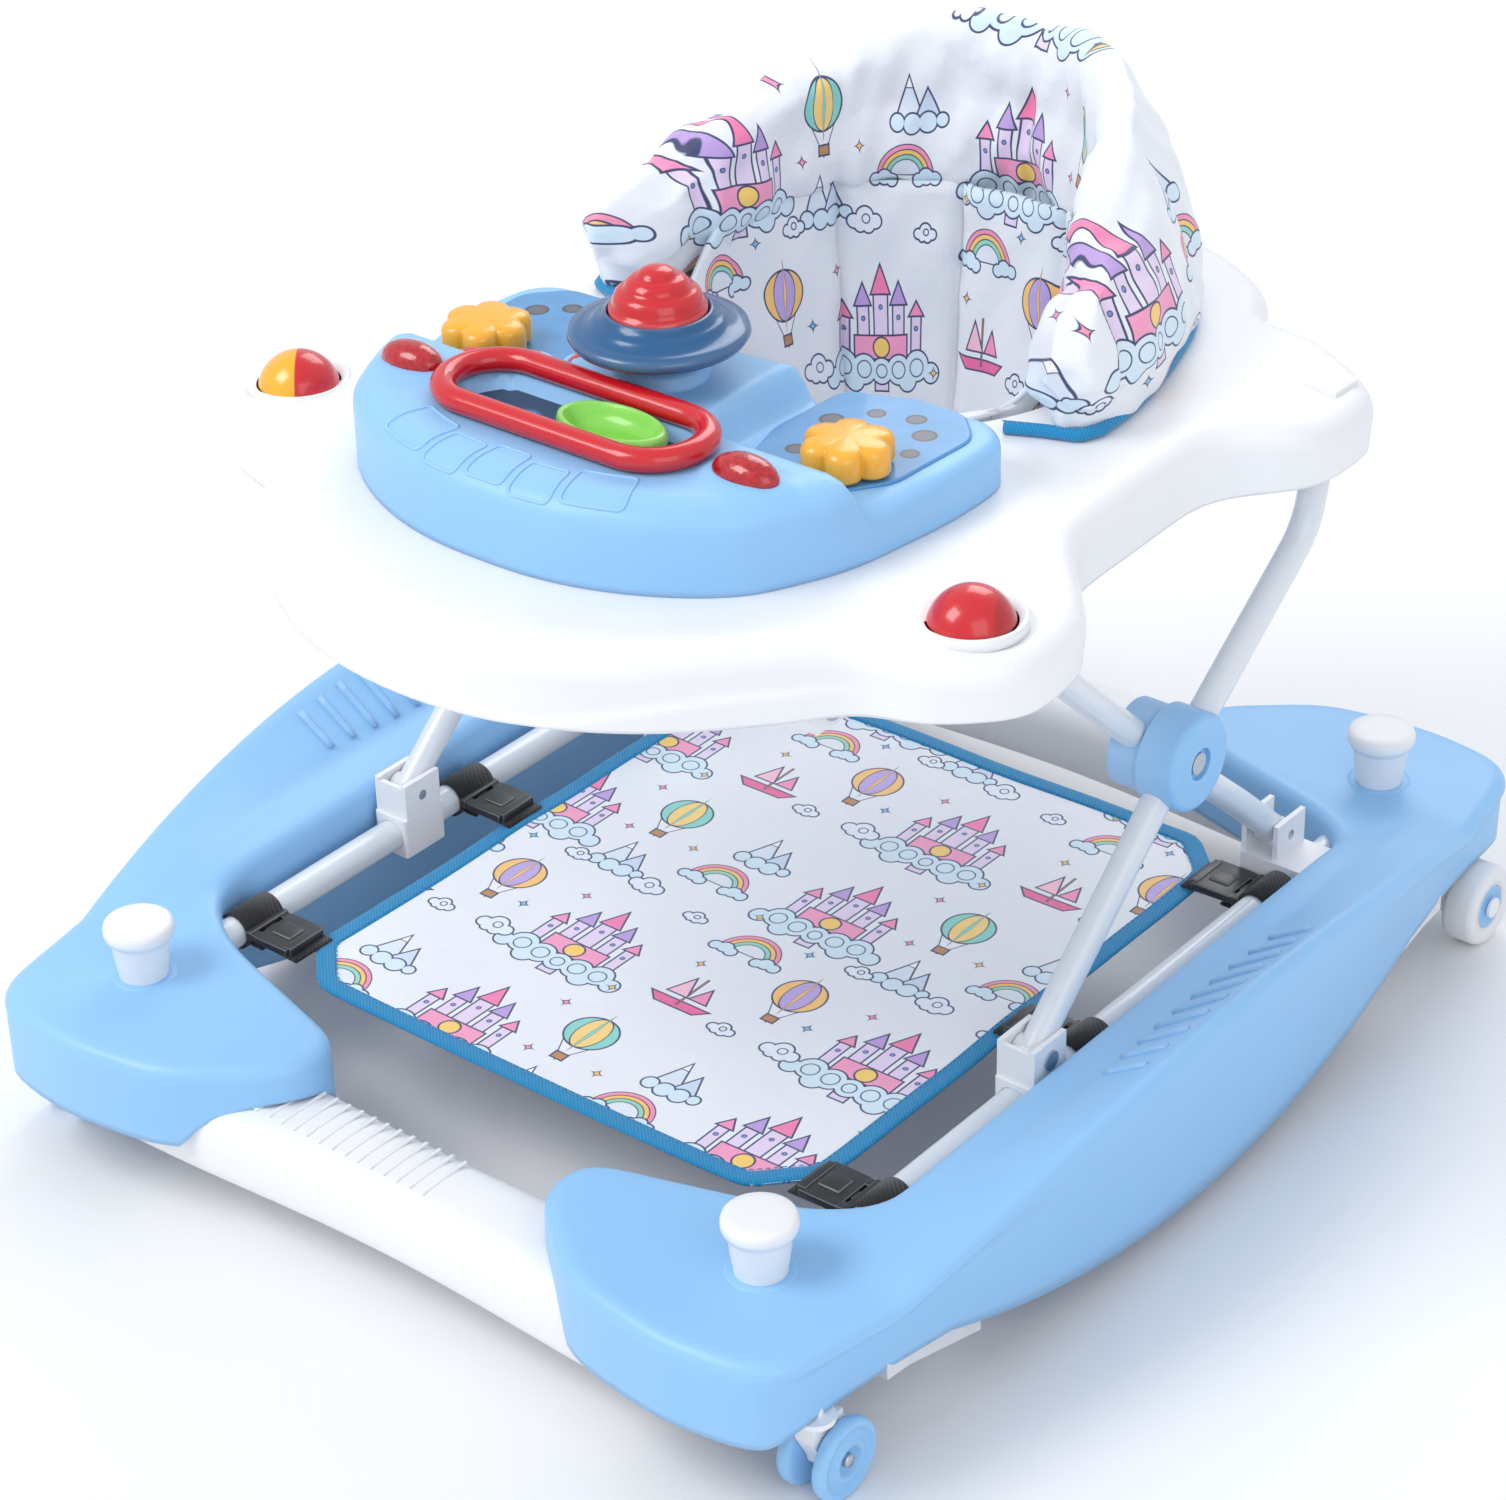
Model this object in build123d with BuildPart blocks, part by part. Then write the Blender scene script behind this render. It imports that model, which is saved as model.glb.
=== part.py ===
from build123d import *
import os

os.makedirs("parts", exist_ok=True)

# Baby walker with rockers, an X-frame that folds flat, a padded seat and a toy tray.
# Millimetres, +Z up, origin on the floor under the middle, front (toy side) towards -Y.
# Right-hand pieces are drawn at +X and mirrored for the left.

# ---- base: rockers, crossbars, rails ----
LOBE_BOTTOM = 50
LOBE_TOP = 98
LOBE_LEVEL_Y = 262          # the rocker's arcs start here, front and rear
ROCK_BOTTOM = 9             # lowest point of the rocking arc, over the floor
CREST_TOP = 140
INNER_WALL_X = 232
BOW_X = 293                 # outer wall at mid length
END_X = 269.6               # outer wall where the corner rounding starts
END_Y = 290
SHELL = 3.5                 # moulded wall thickness
CREST_SLOPE = [(225, 98.4), (300, 147.5)]   # (x, z) of the sloped top face

BAR_Y = 298
BAR_DEPTH = 66
BAR_LOW, BAR_HIGH = 23, 74
BAR_HALF = 185
BAR_WALL = 3
BAR_FIT = 1

RAIL_X = 217
RAIL_Z = 84
RAIL_R = 9
RAIL_HALF = 262
STEEL_WALL = 1.2

# ---- running gear ----
CASTER_X, CASTER_Y = 260, -303
CASTER_TRAIL = 8
CASTER_R = 22
CASTER_TYRE = 9
FORK_WIDTH = 11
STEM_R = 4
REAR_WHEEL_X, REAR_WHEEL_Y = 266, 305
REAR_WHEEL_R = 24
REAR_WHEEL_WIDTH = 20
REAR_HUB_R = 13

STOP_X, STOP_Y = 211, 281
STOP_STEM_R = 13
STOP_HEAD_R = 19
STOP_HEAD_LOW, STOP_HEAD_HIGH = 121, 131.6
FOOT_LOW, FOOT_HIGH = 20.5, 40

# ---- folding frame, as (y, z) points ----
HUB = (60, 221)
FRONT_PIVOT = (-68, 107)
REAR_PIVOT = (188, 107)
TRAY_PIVOT = (190, 350)
SLOT_POINT = (-70, 343)
INNER_X, OUTER_X = 199, 217
LEG_R = 8
PIN_R = 3
PIN_GAP = 0.08

# ---- tray and seat ----
TRAY_LOW, TRAY_TOP = 345, 388
TRAY_WALL = 3
SEAT_Y = 108
OPENING_R = 122
TOY_LOW, TOY_DECK, TOY_RIDGE = 388, 415, 434
PAD_TOP = 517
BALL_X, BALL_Y, BALL_Z, BALL_R = 218, -123, 378, 22
WHEEL_Y = -85
FLOWER_X, FLOWER_Y = 116.5, -85
BUTTON_SPOTS = [(-96, -118), (-70, -104), (-46, -88)]
BUTTON_R = 9

# ---- mat ----
MAT_LOW, MAT_HIGH = 78, 80
MAT_X = 176
MAT_FRONT, MAT_REAR = -215, 193
STRAP_SPOTS = [-195, -22, 155]
STRAP_WIDTH = 28


def save(piece, name):
    """Label one finished piece and write its file."""
    piece.part.label = name
    export_step(piece.part, f"parts/{name}.step")


def save_pair(right, name):
    """Write a right-hand piece and its mirror image."""
    save(right, f"right_{name}")
    with BuildPart() as left:
        mirror(right.part, about=Plane.YZ)
    save(left, f"left_{name}")


def save_both(right, name):
    """Write a right-hand piece and its mirror image as two solids in one file."""
    with BuildPart() as both:
        add(right.part)
        mirror(right.part, about=Plane.YZ)
    save(both, name)


def fill_outline(outline, inset):
    """Fill a closed outline in the active sketch, drawn in by inset all round."""
    face = make_face(outline.edges(), mode=Mode.PRIVATE if inset else Mode.ADD)
    if inset:
        offset(face, amount=-inset, mode=Mode.ADD)


def tube_along(points, radii, x):
    """Steel tube in the active part along (y, z) points in the plane at x."""
    with BuildLine():
        path = FilletPolyline(*[(x, y, z) for y, z in points], radius=radii)
    with BuildSketch(Plane(origin=path @ 0, z_dir=path % 0)) as ring:
        Circle(LEG_R)
        Circle(LEG_R - STEEL_WALL, mode=Mode.SUBTRACT)
    sweep(ring.sketch, path=path)


def across(points):
    """Planes for cylinders that lie along X through (x, y, z) points."""
    return Locations(*[Location(p, (0, 90, 0)) for p in points])


# ---------------------------------------------------------------- rockers
def rocker_blank(inset, floor):
    """Solid rocker in the active part, drawn in by inset and open down to floor."""
    with BuildSketch() as plan:
        with BuildLine() as outline:
            FilletPolyline(
                (INNER_WALL_X, 0), (INNER_WALL_X, -208), (198, -230), (82, -262), (82, -296),
                (140, -343), (205, -352), (262, -344), (END_X, -END_Y),
                radius=[18, 60, 12, 20, 50, 80, 26],
            )
            ThreePointArc((END_X, -END_Y), (BOW_X - 5.84, -END_Y / 2), (BOW_X, 0))
            mirror(about=Plane.XZ)
        fill_outline(outline, inset)
    extrude(plan.sketch, amount=200)
    low = floor - 60 if inset else ROCK_BOTTOM
    with BuildSketch(Plane.YZ) as side_view:
        with BuildLine():
            lobe_top, reach = LOBE_TOP - inset, 360
            Polyline((240, floor), (reach, floor), (reach, lobe_top), (LOBE_LEVEL_Y, lobe_top))
            ThreePointArc((LOBE_LEVEL_Y, lobe_top), (0, CREST_TOP - inset), (-LOBE_LEVEL_Y, lobe_top))
            Polyline((-LOBE_LEVEL_Y, lobe_top), (-reach, lobe_top), (-reach, floor), (-240, floor))
            ThreePointArc((-240, floor), (0, low), (240, floor))
        make_face()
    extrude(side_view.sketch, amount=400, mode=Mode.INTERSECT)
    with BuildSketch(Plane.XZ) as slope:
        (x0, z0), (x1, z1) = CREST_SLOPE
        Polygon((x0, z0 - inset * 1.2), (x1, z1 - inset * 1.2), (x1, 220), (x0, 220), align=None)
    extrude(slope.sketch, amount=360, both=True, mode=Mode.SUBTRACT)


with BuildPart() as rocker_hollow:
    rocker_blank(SHELL, LOBE_BOTTOM)
    # Posts that stay solid: stop guides, caster or wheel posts, and crossbar screw bosses.
    for end in (-1, 1):
        with Locations((STOP_X, end * STOP_Y, 62)):
            Cylinder(17, 60, align=(Align.CENTER, Align.CENTER, Align.MIN), mode=Mode.SUBTRACT)
        with Locations((170, end * BAR_Y, BAR_HIGH + BAR_FIT)):
            Cylinder(6, 60, align=(Align.CENTER, Align.CENTER, Align.MIN), mode=Mode.SUBTRACT)
    with Locations((CASTER_X, CASTER_Y, 0)):
        Cylinder(10, 200, mode=Mode.SUBTRACT)

with BuildPart() as right_rocker:
    rocker_blank(0, LOBE_BOTTOM)
    add(rocker_hollow.part, mode=Mode.SUBTRACT)
    for end in (-1, 1):
        with Locations((STOP_X, end * STOP_Y, 0)):
            Cylinder(STOP_STEM_R + 0.5, 300, mode=Mode.SUBTRACT)
        with Locations((170, end * BAR_Y, BAR_HIGH)):
            Cylinder(2, 32, mode=Mode.SUBTRACT)
        # Arched notch that takes the crossbar.
        with BuildSketch(Plane.YZ.offset(60)):
            with Locations((end * BAR_Y, (BAR_LOW + BAR_HIGH) / 2)):
                RectangleRounded(BAR_DEPTH + 2 * BAR_FIT, BAR_HIGH - BAR_LOW + 2 * BAR_FIT, 18)
        extrude(amount=80, mode=Mode.SUBTRACT)
    with Locations((CASTER_X, CASTER_Y, 46)):
        Cylinder(STEM_R + PIN_GAP, 43, align=(Align.CENTER, Align.CENTER, Align.MIN), mode=Mode.SUBTRACT)
    with Locations(Location((RAIL_X, 0, RAIL_Z), (90, 0, 0))):
        Cylinder(RAIL_R, 2 * RAIL_HALF, mode=Mode.SUBTRACT)
save_pair(right_rocker, "rocker")


# ---------------------------------------------------------------- crossbars
for end, name in ((-1, "front_crossbar"), (1, "rear_crossbar")):
    with BuildPart() as crossbar:
        with BuildSketch(Plane.YZ.offset(-BAR_HALF)):
            with Locations((end * BAR_Y, (BAR_LOW + BAR_HIGH) / 2)):
                RectangleRounded(BAR_DEPTH, BAR_HIGH - BAR_LOW, 18)
                offset(amount=-BAR_WALL, mode=Mode.SUBTRACT)
        extrude(amount=2 * BAR_HALF)
        with Locations((170, end * BAR_Y, BAR_HIGH), (-170, end * BAR_Y, BAR_HIGH)):
            Cylinder(2.3, 20, mode=Mode.SUBTRACT)
    save(crossbar, name)

with BuildPart() as base_screws:
    for x in (-170, 170):
        for end in (-1, 1):
            with Locations((x, end * BAR_Y, BAR_HIGH - BAR_WALL)):
                Cylinder(2, 18, align=(Align.CENTER, Align.CENTER, Align.MIN))
                Cylinder(4.5, 2.6, align=(Align.CENTER, Align.CENTER, Align.MAX))
save(base_screws, "base_screws")

# ---------------------------------------------------------------- rails
with BuildPart() as right_rail:
    with Locations(Location((RAIL_X, 0, RAIL_Z), (90, 0, 0))):
        Cylinder(RAIL_R, 2 * RAIL_HALF)
        Cylinder(RAIL_R - STEEL_WALL, 2 * RAIL_HALF, mode=Mode.SUBTRACT)
save_both(right_rail, "side_rails")

# ---------------------------------------------------------------- brackets on the rails
EAR = 3
CLAMP_HALF = 16


def bracket(pivot_y, leg_x, bore_gap, closed_end):
    """Bracket round the rail with two ears for a leg's end, in the active part."""
    ears_low = leg_x - LEG_R - 0.6 - EAR
    block_low = min(ears_low, RAIL_X - 12)
    with BuildSketch(Plane.XY.offset(72)) as block:
        with Locations(((block_low + RAIL_X + 12) / 2, pivot_y)):
            RectangleRounded(RAIL_X + 12 - block_low, 2 * CLAMP_HALF, 2)
    extrude(block.sketch, amount=24)
    with BuildSketch(Plane.YZ.offset(ears_low)) as ears:
        with Locations((pivot_y, 105)):
            Rectangle(2 * CLAMP_HALF - 4, 26)
    extrude(ears.sketch, amount=2 * LEG_R + 1.2 + 2 * EAR)
    with Locations((leg_x, pivot_y, 96)):
        Box(2 * LEG_R + 1.2, 60, 40, align=(Align.CENTER, Align.CENTER, Align.MIN), mode=Mode.SUBTRACT)
    if closed_end:
        with Locations((leg_x, pivot_y - CLAMP_HALF + 3.5, 104)):
            Box(2 * LEG_R + 1.2, 3, 24)
    with Locations(Location((RAIL_X, pivot_y, RAIL_Z), (90, 0, 0))):
        Cylinder(RAIL_R + bore_gap, 60, mode=Mode.SUBTRACT)
    with across([(leg_x, pivot_y, 107)]):
        Cylinder(PIN_R, 40, mode=Mode.SUBTRACT)


with BuildPart() as right_rear_bracket:
    bracket(REAR_PIVOT[0], INNER_X, 0, False)
save_both(right_rear_bracket, "rear_brackets")

with BuildPart() as right_sliding_bracket:
    bracket(FRONT_PIVOT[0], OUTER_X, 0.3, True)
save_both(right_sliding_bracket, "sliding_brackets")

PIN_HALF = LEG_R + 0.6 + EAR
pin_sets = [(INNER_X, REAR_PIVOT, "rear_pivot_pins"), (OUTER_X, FRONT_PIVOT, "front_pivot_pins")]
for leg_x, point, name in pin_sets:
    head_side = 1 if leg_x == OUTER_X else -1
    with BuildPart() as right_pin:
        with across([(leg_x, *point)]):
            Cylinder(PIN_R, 2 * PIN_HALF)
        with across([(leg_x + head_side * (PIN_HALF + 0.7), *point)]):
            Cylinder(5.5, 1.4)
    save_both(right_pin, name)

# ---------------------------------------------------------------- friction pads
with BuildPart() as right_pads:
    with BuildSketch(Plane.YZ.offset(INNER_WALL_X + SHELL)):
        for end in (-1, 1):
            Polygon(
                (end * 258, 44), (end * 240, 42), (end * 182, 26), (end * 182, 44), (end * 258, 62),
                align=None,
            )
    extrude(amount=33)
save_both(right_pads, "friction_pads")

# ---------------------------------------------------------------- front casters
FORK_TOP = 49.4
caster_axle_y = CASTER_Y + CASTER_TRAIL

with BuildPart() as right_caster_fork:
    with BuildSketch(Plane.YZ.offset(CASTER_X - FORK_WIDTH / 2)):
        with BuildLine():
            Polyline(
                (CASTER_Y - 9, FORK_TOP - 3), (CASTER_Y - 9, 38), (caster_axle_y - 8.5, CASTER_R),
                (caster_axle_y + 8.5, CASTER_R), (CASTER_Y + 14, FORK_TOP - 3), close=True,
            )
        make_face()
        with Locations((caster_axle_y, CASTER_R)):
            Circle(8.5)
            Circle(PIN_R + PIN_GAP, mode=Mode.SUBTRACT)
    extrude(amount=FORK_WIDTH)
    with Locations((CASTER_X, CASTER_Y, FORK_TOP - 3)):
        Cylinder(10, 3, align=(Align.CENTER, Align.CENTER, Align.MIN))
        Cylinder(STEM_R, 42, align=(Align.CENTER, Align.CENTER, Align.MIN))
save_pair(right_caster_fork, "caster_fork")

with BuildPart() as right_caster_wheels:
    for side in (-1, 1):
        wheel_x = CASTER_X + side * (FORK_WIDTH / 2 + 0.5 + CASTER_TYRE / 2)
        with across([(wheel_x, caster_axle_y, CASTER_R)]):
            Cylinder(CASTER_R, CASTER_TYRE)
            Cylinder(PIN_R, CASTER_TYRE, mode=Mode.SUBTRACT)
    rims = right_caster_wheels.edges().filter_by(GeomType.CIRCLE).sort_by(SortBy.RADIUS)[-4:]
    fillet(rims, 2.5)
    for side in (-1, 1):
        face_x = CASTER_X + side * (FORK_WIDTH / 2 + 0.5 + CASTER_TYRE)
        with across([(face_x, caster_axle_y, CASTER_R)]):
            Cylinder(7.5, 4, mode=Mode.SUBTRACT)
    # One axle is pressed into both wheels.
    with across([(CASTER_X, caster_axle_y, CASTER_R)]):
        Cylinder(PIN_R, FORK_WIDTH + 1 + 2 * CASTER_TYRE - 4)
save_pair(right_caster_wheels, "caster_wheels")

# ---------------------------------------------------------------- rear wheels
with BuildPart() as right_rear_wheel_mount:
    with Locations((249, REAR_WHEEL_Y, 0)):
        with Locations((0, 0, LOBE_BOTTOM)):
            Box(14, 28, LOBE_TOP - SHELL - LOBE_BOTTOM, align=(Align.CENTER, Align.CENTER, Align.MIN))
        with Locations((0, 0, REAR_WHEEL_R)):
            Box(8, 24, LOBE_BOTTOM - REAR_WHEEL_R, align=(Align.CENTER, Align.CENTER, Align.MIN))
    with across([(249, REAR_WHEEL_Y, REAR_WHEEL_R)]):
        Cylinder(12, 8)
    with across([((253 + 277) / 2, REAR_WHEEL_Y, REAR_WHEEL_R)]):
        Cylinder(4, 24)
    with across([(277, REAR_WHEEL_Y, REAR_WHEEL_R)]):
        Cylinder(6, 1.6)
save_pair(right_rear_wheel_mount, "rear_wheel_mount")

with BuildPart() as right_rear_tyre:
    with across([(REAR_WHEEL_X, REAR_WHEEL_Y, REAR_WHEEL_R)]):
        Cylinder(REAR_WHEEL_R, REAR_WHEEL_WIDTH)
        Cylinder(REAR_HUB_R, REAR_WHEEL_WIDTH, mode=Mode.SUBTRACT)
    fillet(right_rear_tyre.edges().filter_by(GeomType.CIRCLE).sort_by(SortBy.RADIUS)[-2:], 4)
save_pair(right_rear_tyre, "rear_tyre")

with BuildPart() as right_rear_hub:
    with across([(REAR_WHEEL_X, REAR_WHEEL_Y, REAR_WHEEL_R)]):
        Cylinder(REAR_HUB_R, REAR_WHEEL_WIDTH - 1)
        Cylinder(4 + PIN_GAP, REAR_WHEEL_WIDTH, mode=Mode.SUBTRACT)
save_pair(right_rear_hub, "rear_hub")

# ---------------------------------------------------------------- rocking stops
for side, side_name in ((-1, "left"), (1, "right")):
    for end, end_name in ((-1, "front"), (1, "rear")):
        spot = (side * STOP_X, end * STOP_Y)
        with BuildPart() as stop_knob:
            with BuildSketch(Plane.XY.offset(FOOT_HIGH)):
                with Locations(spot):
                    Circle(STOP_STEM_R)
            extrude(amount=STOP_HEAD_LOW - FOOT_HIGH)
            with BuildSketch(Plane.XY.offset(STOP_HEAD_LOW)):
                with Locations(spot):
                    Circle(STOP_HEAD_R)
            extrude(amount=STOP_HEAD_HIGH - STOP_HEAD_LOW)
            fillet(stop_knob.edges().group_by(Axis.Z)[-1], 3)
        save(stop_knob, f"{side_name}_{end_name}_stop_knob")
        with BuildPart() as stop_foot:
            with BuildSketch(Plane.XY.offset(FOOT_LOW)):
                with Locations(spot):
                    Circle(16)
            extrude(amount=FOOT_HIGH - FOOT_LOW)
            chamfer(stop_foot.edges().group_by(Axis.Z)[0], 2)
        save(stop_foot, f"{side_name}_{end_name}_stop_foot")

# ---------------------------------------------------------------- floor mat, straps, buckles
with BuildPart() as floor_mat:
    with BuildSketch(Plane.XY.offset(MAT_LOW)):
        with Locations((0, (MAT_FRONT + MAT_REAR) / 2)):
            RectangleRounded(2 * MAT_X, MAT_REAR - MAT_FRONT, 20)
    extrude(amount=MAT_HIGH - MAT_LOW)
save(floor_mat, "floor_mat")

with BuildPart() as mat_straps:
    for side in (-1, 1):
        for y in STRAP_SPOTS:
            with Locations(Location((side * RAIL_X, y, RAIL_Z), (90, 0, 0))):
                Cylinder(RAIL_R + 1.6, STRAP_WIDTH)
            with Locations((side * 194, y, 82)):
                Box(36, STRAP_WIDTH, 1.6)
            with Locations(Location((side * RAIL_X, y, RAIL_Z), (90, 0, 0))):
                Cylinder(RAIL_R, STRAP_WIDTH, mode=Mode.SUBTRACT)
save(mat_straps, "mat_straps")

with BuildPart() as strap_buckles:
    for side in (-1, 1):
        for y in STRAP_SPOTS:
            with Locations((side * 189, y, 83.1)):
                Box(28, STRAP_WIDTH + 4, 5, align=(Align.CENTER, Align.CENTER, Align.MIN))
save(strap_buckles, "strap_buckles")


# ---------------------------------------------------------------- folding frame
def pin_hole(x, point, radius):
    """Cut a hole along X through the active part at a (y, z) point."""
    with across([(x, *point)]):
        Cylinder(radius, 40, mode=Mode.SUBTRACT)


with BuildPart() as right_inner_leg:
    tube_along([SLOT_POINT, HUB, (150, 142), REAR_PIVOT], [300, 70], INNER_X)
    with across([(INNER_X, *REAR_PIVOT), (INNER_X, *SLOT_POINT)]):
        Cylinder(LEG_R, 2 * LEG_R)
    pin_hole(INNER_X, REAR_PIVOT, PIN_R + PIN_GAP)
    pin_hole(INNER_X, HUB, PIN_R)
save_pair(right_inner_leg, "inner_leg")

with BuildPart() as inner_cross_tube:
    with across([(0, *SLOT_POINT)]):
        Cylinder(LEG_R, 2 * (INNER_X - LEG_R))
        Cylinder(LEG_R - STEEL_WALL, 2 * (INNER_X - LEG_R), mode=Mode.SUBTRACT)
save(inner_cross_tube, "inner_cross_tube")

with BuildPart() as right_outer_leg:
    tube_along([FRONT_PIVOT, HUB, (175, 305), (TRAY_PIVOT[0], TRAY_PIVOT[1] + LEG_R)], [200, 40], OUTER_X)
    with across([(OUTER_X, *FRONT_PIVOT)]):
        Cylinder(LEG_R, 2 * LEG_R)
    pin_hole(OUTER_X, FRONT_PIVOT, PIN_R + PIN_GAP)
    pin_hole(OUTER_X, TRAY_PIVOT, PIN_R + PIN_GAP)
    pin_hole(OUTER_X, HUB, PIN_R + PIN_GAP)
save_pair(right_outer_leg, "outer_leg")

HUB_R = 27
with BuildPart() as right_hub_cap:
    with BuildSketch(Plane.YZ.offset(208.2)):
        with Locations(HUB):
            Circle(HUB_R)
    extrude(amount=231 - 208.2)
    fillet(right_hub_cap.edges().filter_by(GeomType.CIRCLE).sort_by(Axis.X)[-1], 4)
    with BuildLine():
        channel = FilletPolyline(*[(OUTER_X, y, z) for y, z in [FRONT_PIVOT, HUB, (175, 305)]], radius=200)
    with BuildSketch(Plane(origin=channel @ 0, z_dir=channel % 0)):
        Circle(LEG_R)
    sweep(path=channel, mode=Mode.SUBTRACT)
    pin_hole(OUTER_X, HUB, PIN_R + PIN_GAP)
    with across([(231, *HUB)]):
        Cylinder(9, 6, mode=Mode.SUBTRACT)
save_both(right_hub_cap, "hub_caps")

with BuildPart() as right_hub_clamp:
    with BuildSketch(Plane.YZ.offset(189)):
        with Locations(HUB):
            Circle(HUB_R - 3)
    extrude(amount=207.7 - 189)
    with BuildLine():
        groove = FilletPolyline(*[(INNER_X, y, z) for y, z in [SLOT_POINT, HUB, (150, 142)]], radius=300)
    with BuildSketch(Plane(origin=groove @ 0, z_dir=groove % 0)):
        Circle(LEG_R)
    sweep(path=groove, mode=Mode.SUBTRACT)
    pin_hole(INNER_X, HUB, PIN_R)
save_both(right_hub_clamp, "hub_clamps")

with BuildPart() as hub_pins:
    for side in (-1, 1):
        with across([(side * (189 + 228) / 2, *HUB)]):
            Cylinder(PIN_R, 228 - 189)
        with across([(side * 229, *HUB)]):
            Cylinder(6, 2)
save(hub_pins, "hub_pins")


# ---------------------------------------------------------------- tray shell
def tray_plan(inset):
    """Plan of the tray in the active sketch: a bowed front, two pairs of wings, a rounded rear."""
    with BuildLine() as outline:
        ThreePointArc((0, -285), (82, -268), (150, -218))
        FilletPolyline(
            (150, -218), (188, -176), (226, -168), (262, -136), (256, -80), (208, -28), (203, 102),
            (244, 140), (244, 206), (190, 232), (146, 236),
            radius=[16, 26, 30, 34, 40, 40, 36, 30, 40],
        )
        Line((146, 236), (138, 262))
        ThreePointArc((138, 262), (84, 297), (0, 308))
        mirror(about=Plane.YZ)
    fill_outline(outline, inset)


with BuildPart() as tray_hollow:
    with BuildSketch(Plane.XY.offset(TRAY_LOW - 5)):
        tray_plan(TRAY_WALL)
    extrude(amount=TRAY_TOP - TRAY_WALL - TRAY_LOW + 5)
    with Locations((0, SEAT_Y, TRAY_TOP)):
        Cylinder(OPENING_R + TRAY_WALL, 2 * (TRAY_TOP - TRAY_LOW) + 20, mode=Mode.SUBTRACT)
    with Locations((BALL_X, BALL_Y, BALL_Z), (-BALL_X, BALL_Y, BALL_Z)):
        Sphere(BALL_R + 3, mode=Mode.SUBTRACT)

with BuildPart() as tray_shell:
    with BuildSketch(Plane.XY.offset(TRAY_LOW)):
        tray_plan(0)
    extrude(amount=TRAY_TOP - TRAY_LOW)
    add(tray_hollow.part, mode=Mode.SUBTRACT)
    with Locations((0, SEAT_Y, TRAY_TOP)):
        Cylinder(OPENING_R, 200, mode=Mode.SUBTRACT)
    with Locations((BALL_X, BALL_Y, BALL_Z), (-BALL_X, BALL_Y, BALL_Z)):
        Sphere(BALL_R + 0.5, mode=Mode.SUBTRACT)
    for side in (-1, 1):
        with Locations((side * BALL_X, BALL_Y, BALL_Z + 12)):
            Cylinder(BALL_R - 3, 20, mode=Mode.SUBTRACT)
save(tray_shell, "tray_shell")

with BuildPart() as right_tray_pivot:
    for x in (206.9, 227.1):
        with Locations((x, TRAY_PIVOT[0], 340)):
            Box(2.8, 22, TRAY_TOP - TRAY_WALL - 340, align=(Align.CENTER, Align.CENTER, Align.MIN))
    with Locations((OUTER_X, TRAY_PIVOT[0], TRAY_TOP - TRAY_WALL)):
        Box(23, 22, 3, align=(Align.CENTER, Align.CENTER, Align.MAX))
    with across([(OUTER_X, *TRAY_PIVOT)]):
        Cylinder(PIN_R, 26)
save_both(right_tray_pivot, "tray_pivots")

RACK_FRONT, RACK_REAR = -182, -56
with BuildPart() as right_rack:
    with BuildSketch(Plane.YZ.offset(167)):
        with BuildLine():
            Polyline(
                (RACK_FRONT, 332), (RACK_FRONT, TRAY_TOP - TRAY_WALL), (RACK_REAR, TRAY_TOP - TRAY_WALL),
                (RACK_REAR, 332), close=True,
            )
        make_face()
        with Locations(((SLOT_POINT[0] - 168) / 2, 343.5)):
            SlotOverall(98 + 2 * LEG_R + 1.6, 2 * LEG_R + 3.4, mode=Mode.SUBTRACT)
    extrude(amount=5)
save_both(right_rack, "height_racks")


# ---------------------------------------------------------------- toy tray
def toy_plan(inset):
    """Plan of the toy tray in the active sketch, drawn in by inset."""
    with BuildLine() as outline:
        ThreePointArc((0, -222), (76, -209), (128, -174))
        FilletPolyline((128, -174), (150, -128), (159, -60), (158, -8), (132, 6), radius=[60, 90, 16])
        ThreePointArc((132, 6), (70, -27), (0, -38))
        mirror(about=Plane.YZ)
    fill_outline(outline, inset)


with BuildPart() as toy_tray:
    with BuildSketch(Plane.XY.offset(TOY_LOW)):
        toy_plan(0)
    extrude(amount=TOY_RIDGE - TOY_LOW)
    # The two flower panels sit lower than the ridge and the middle.
    with BuildSketch(Plane.XY.offset(TOY_DECK)):
        with Locations((112, -52), (-112, -52)):
            RectangleRounded(124, 132, 14)
    extrude(amount=60, mode=Mode.SUBTRACT)
    with BuildSketch(Plane.XY.offset(TOY_LOW)):
        toy_plan(TRAY_WALL)
    extrude(amount=TOY_DECK - TRAY_WALL - TOY_LOW, mode=Mode.SUBTRACT)
    with Locations((0, WHEEL_Y, TOY_RIDGE)):
        Cylinder(24, 8, align=(Align.CENTER, Align.CENTER, Align.MIN))
        Cylinder(8, 60, mode=Mode.SUBTRACT)
    with Locations((FLOWER_X, FLOWER_Y, TOY_DECK), (-FLOWER_X, FLOWER_Y, TOY_DECK)):
        Cylinder(4.3, 20, mode=Mode.SUBTRACT)
    for spot in BUTTON_SPOTS:
        with Locations((*spot, TOY_DECK)):
            Cylinder(BUTTON_R + 4, 14, align=(Align.CENTER, Align.CENTER, Align.MIN))
    for spot in BUTTON_SPOTS:
        with Locations((*spot, TOY_DECK)):
            Cylinder(BUTTON_R + 0.5, 100, mode=Mode.SUBTRACT)
    with BuildSketch(Plane.XY.offset(TOY_RIDGE)):
        with Locations((0, -150)):
            SlotOverall(148, 48)
    extrude(amount=-8, mode=Mode.SUBTRACT)
save(toy_tray, "toy_tray")

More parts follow.
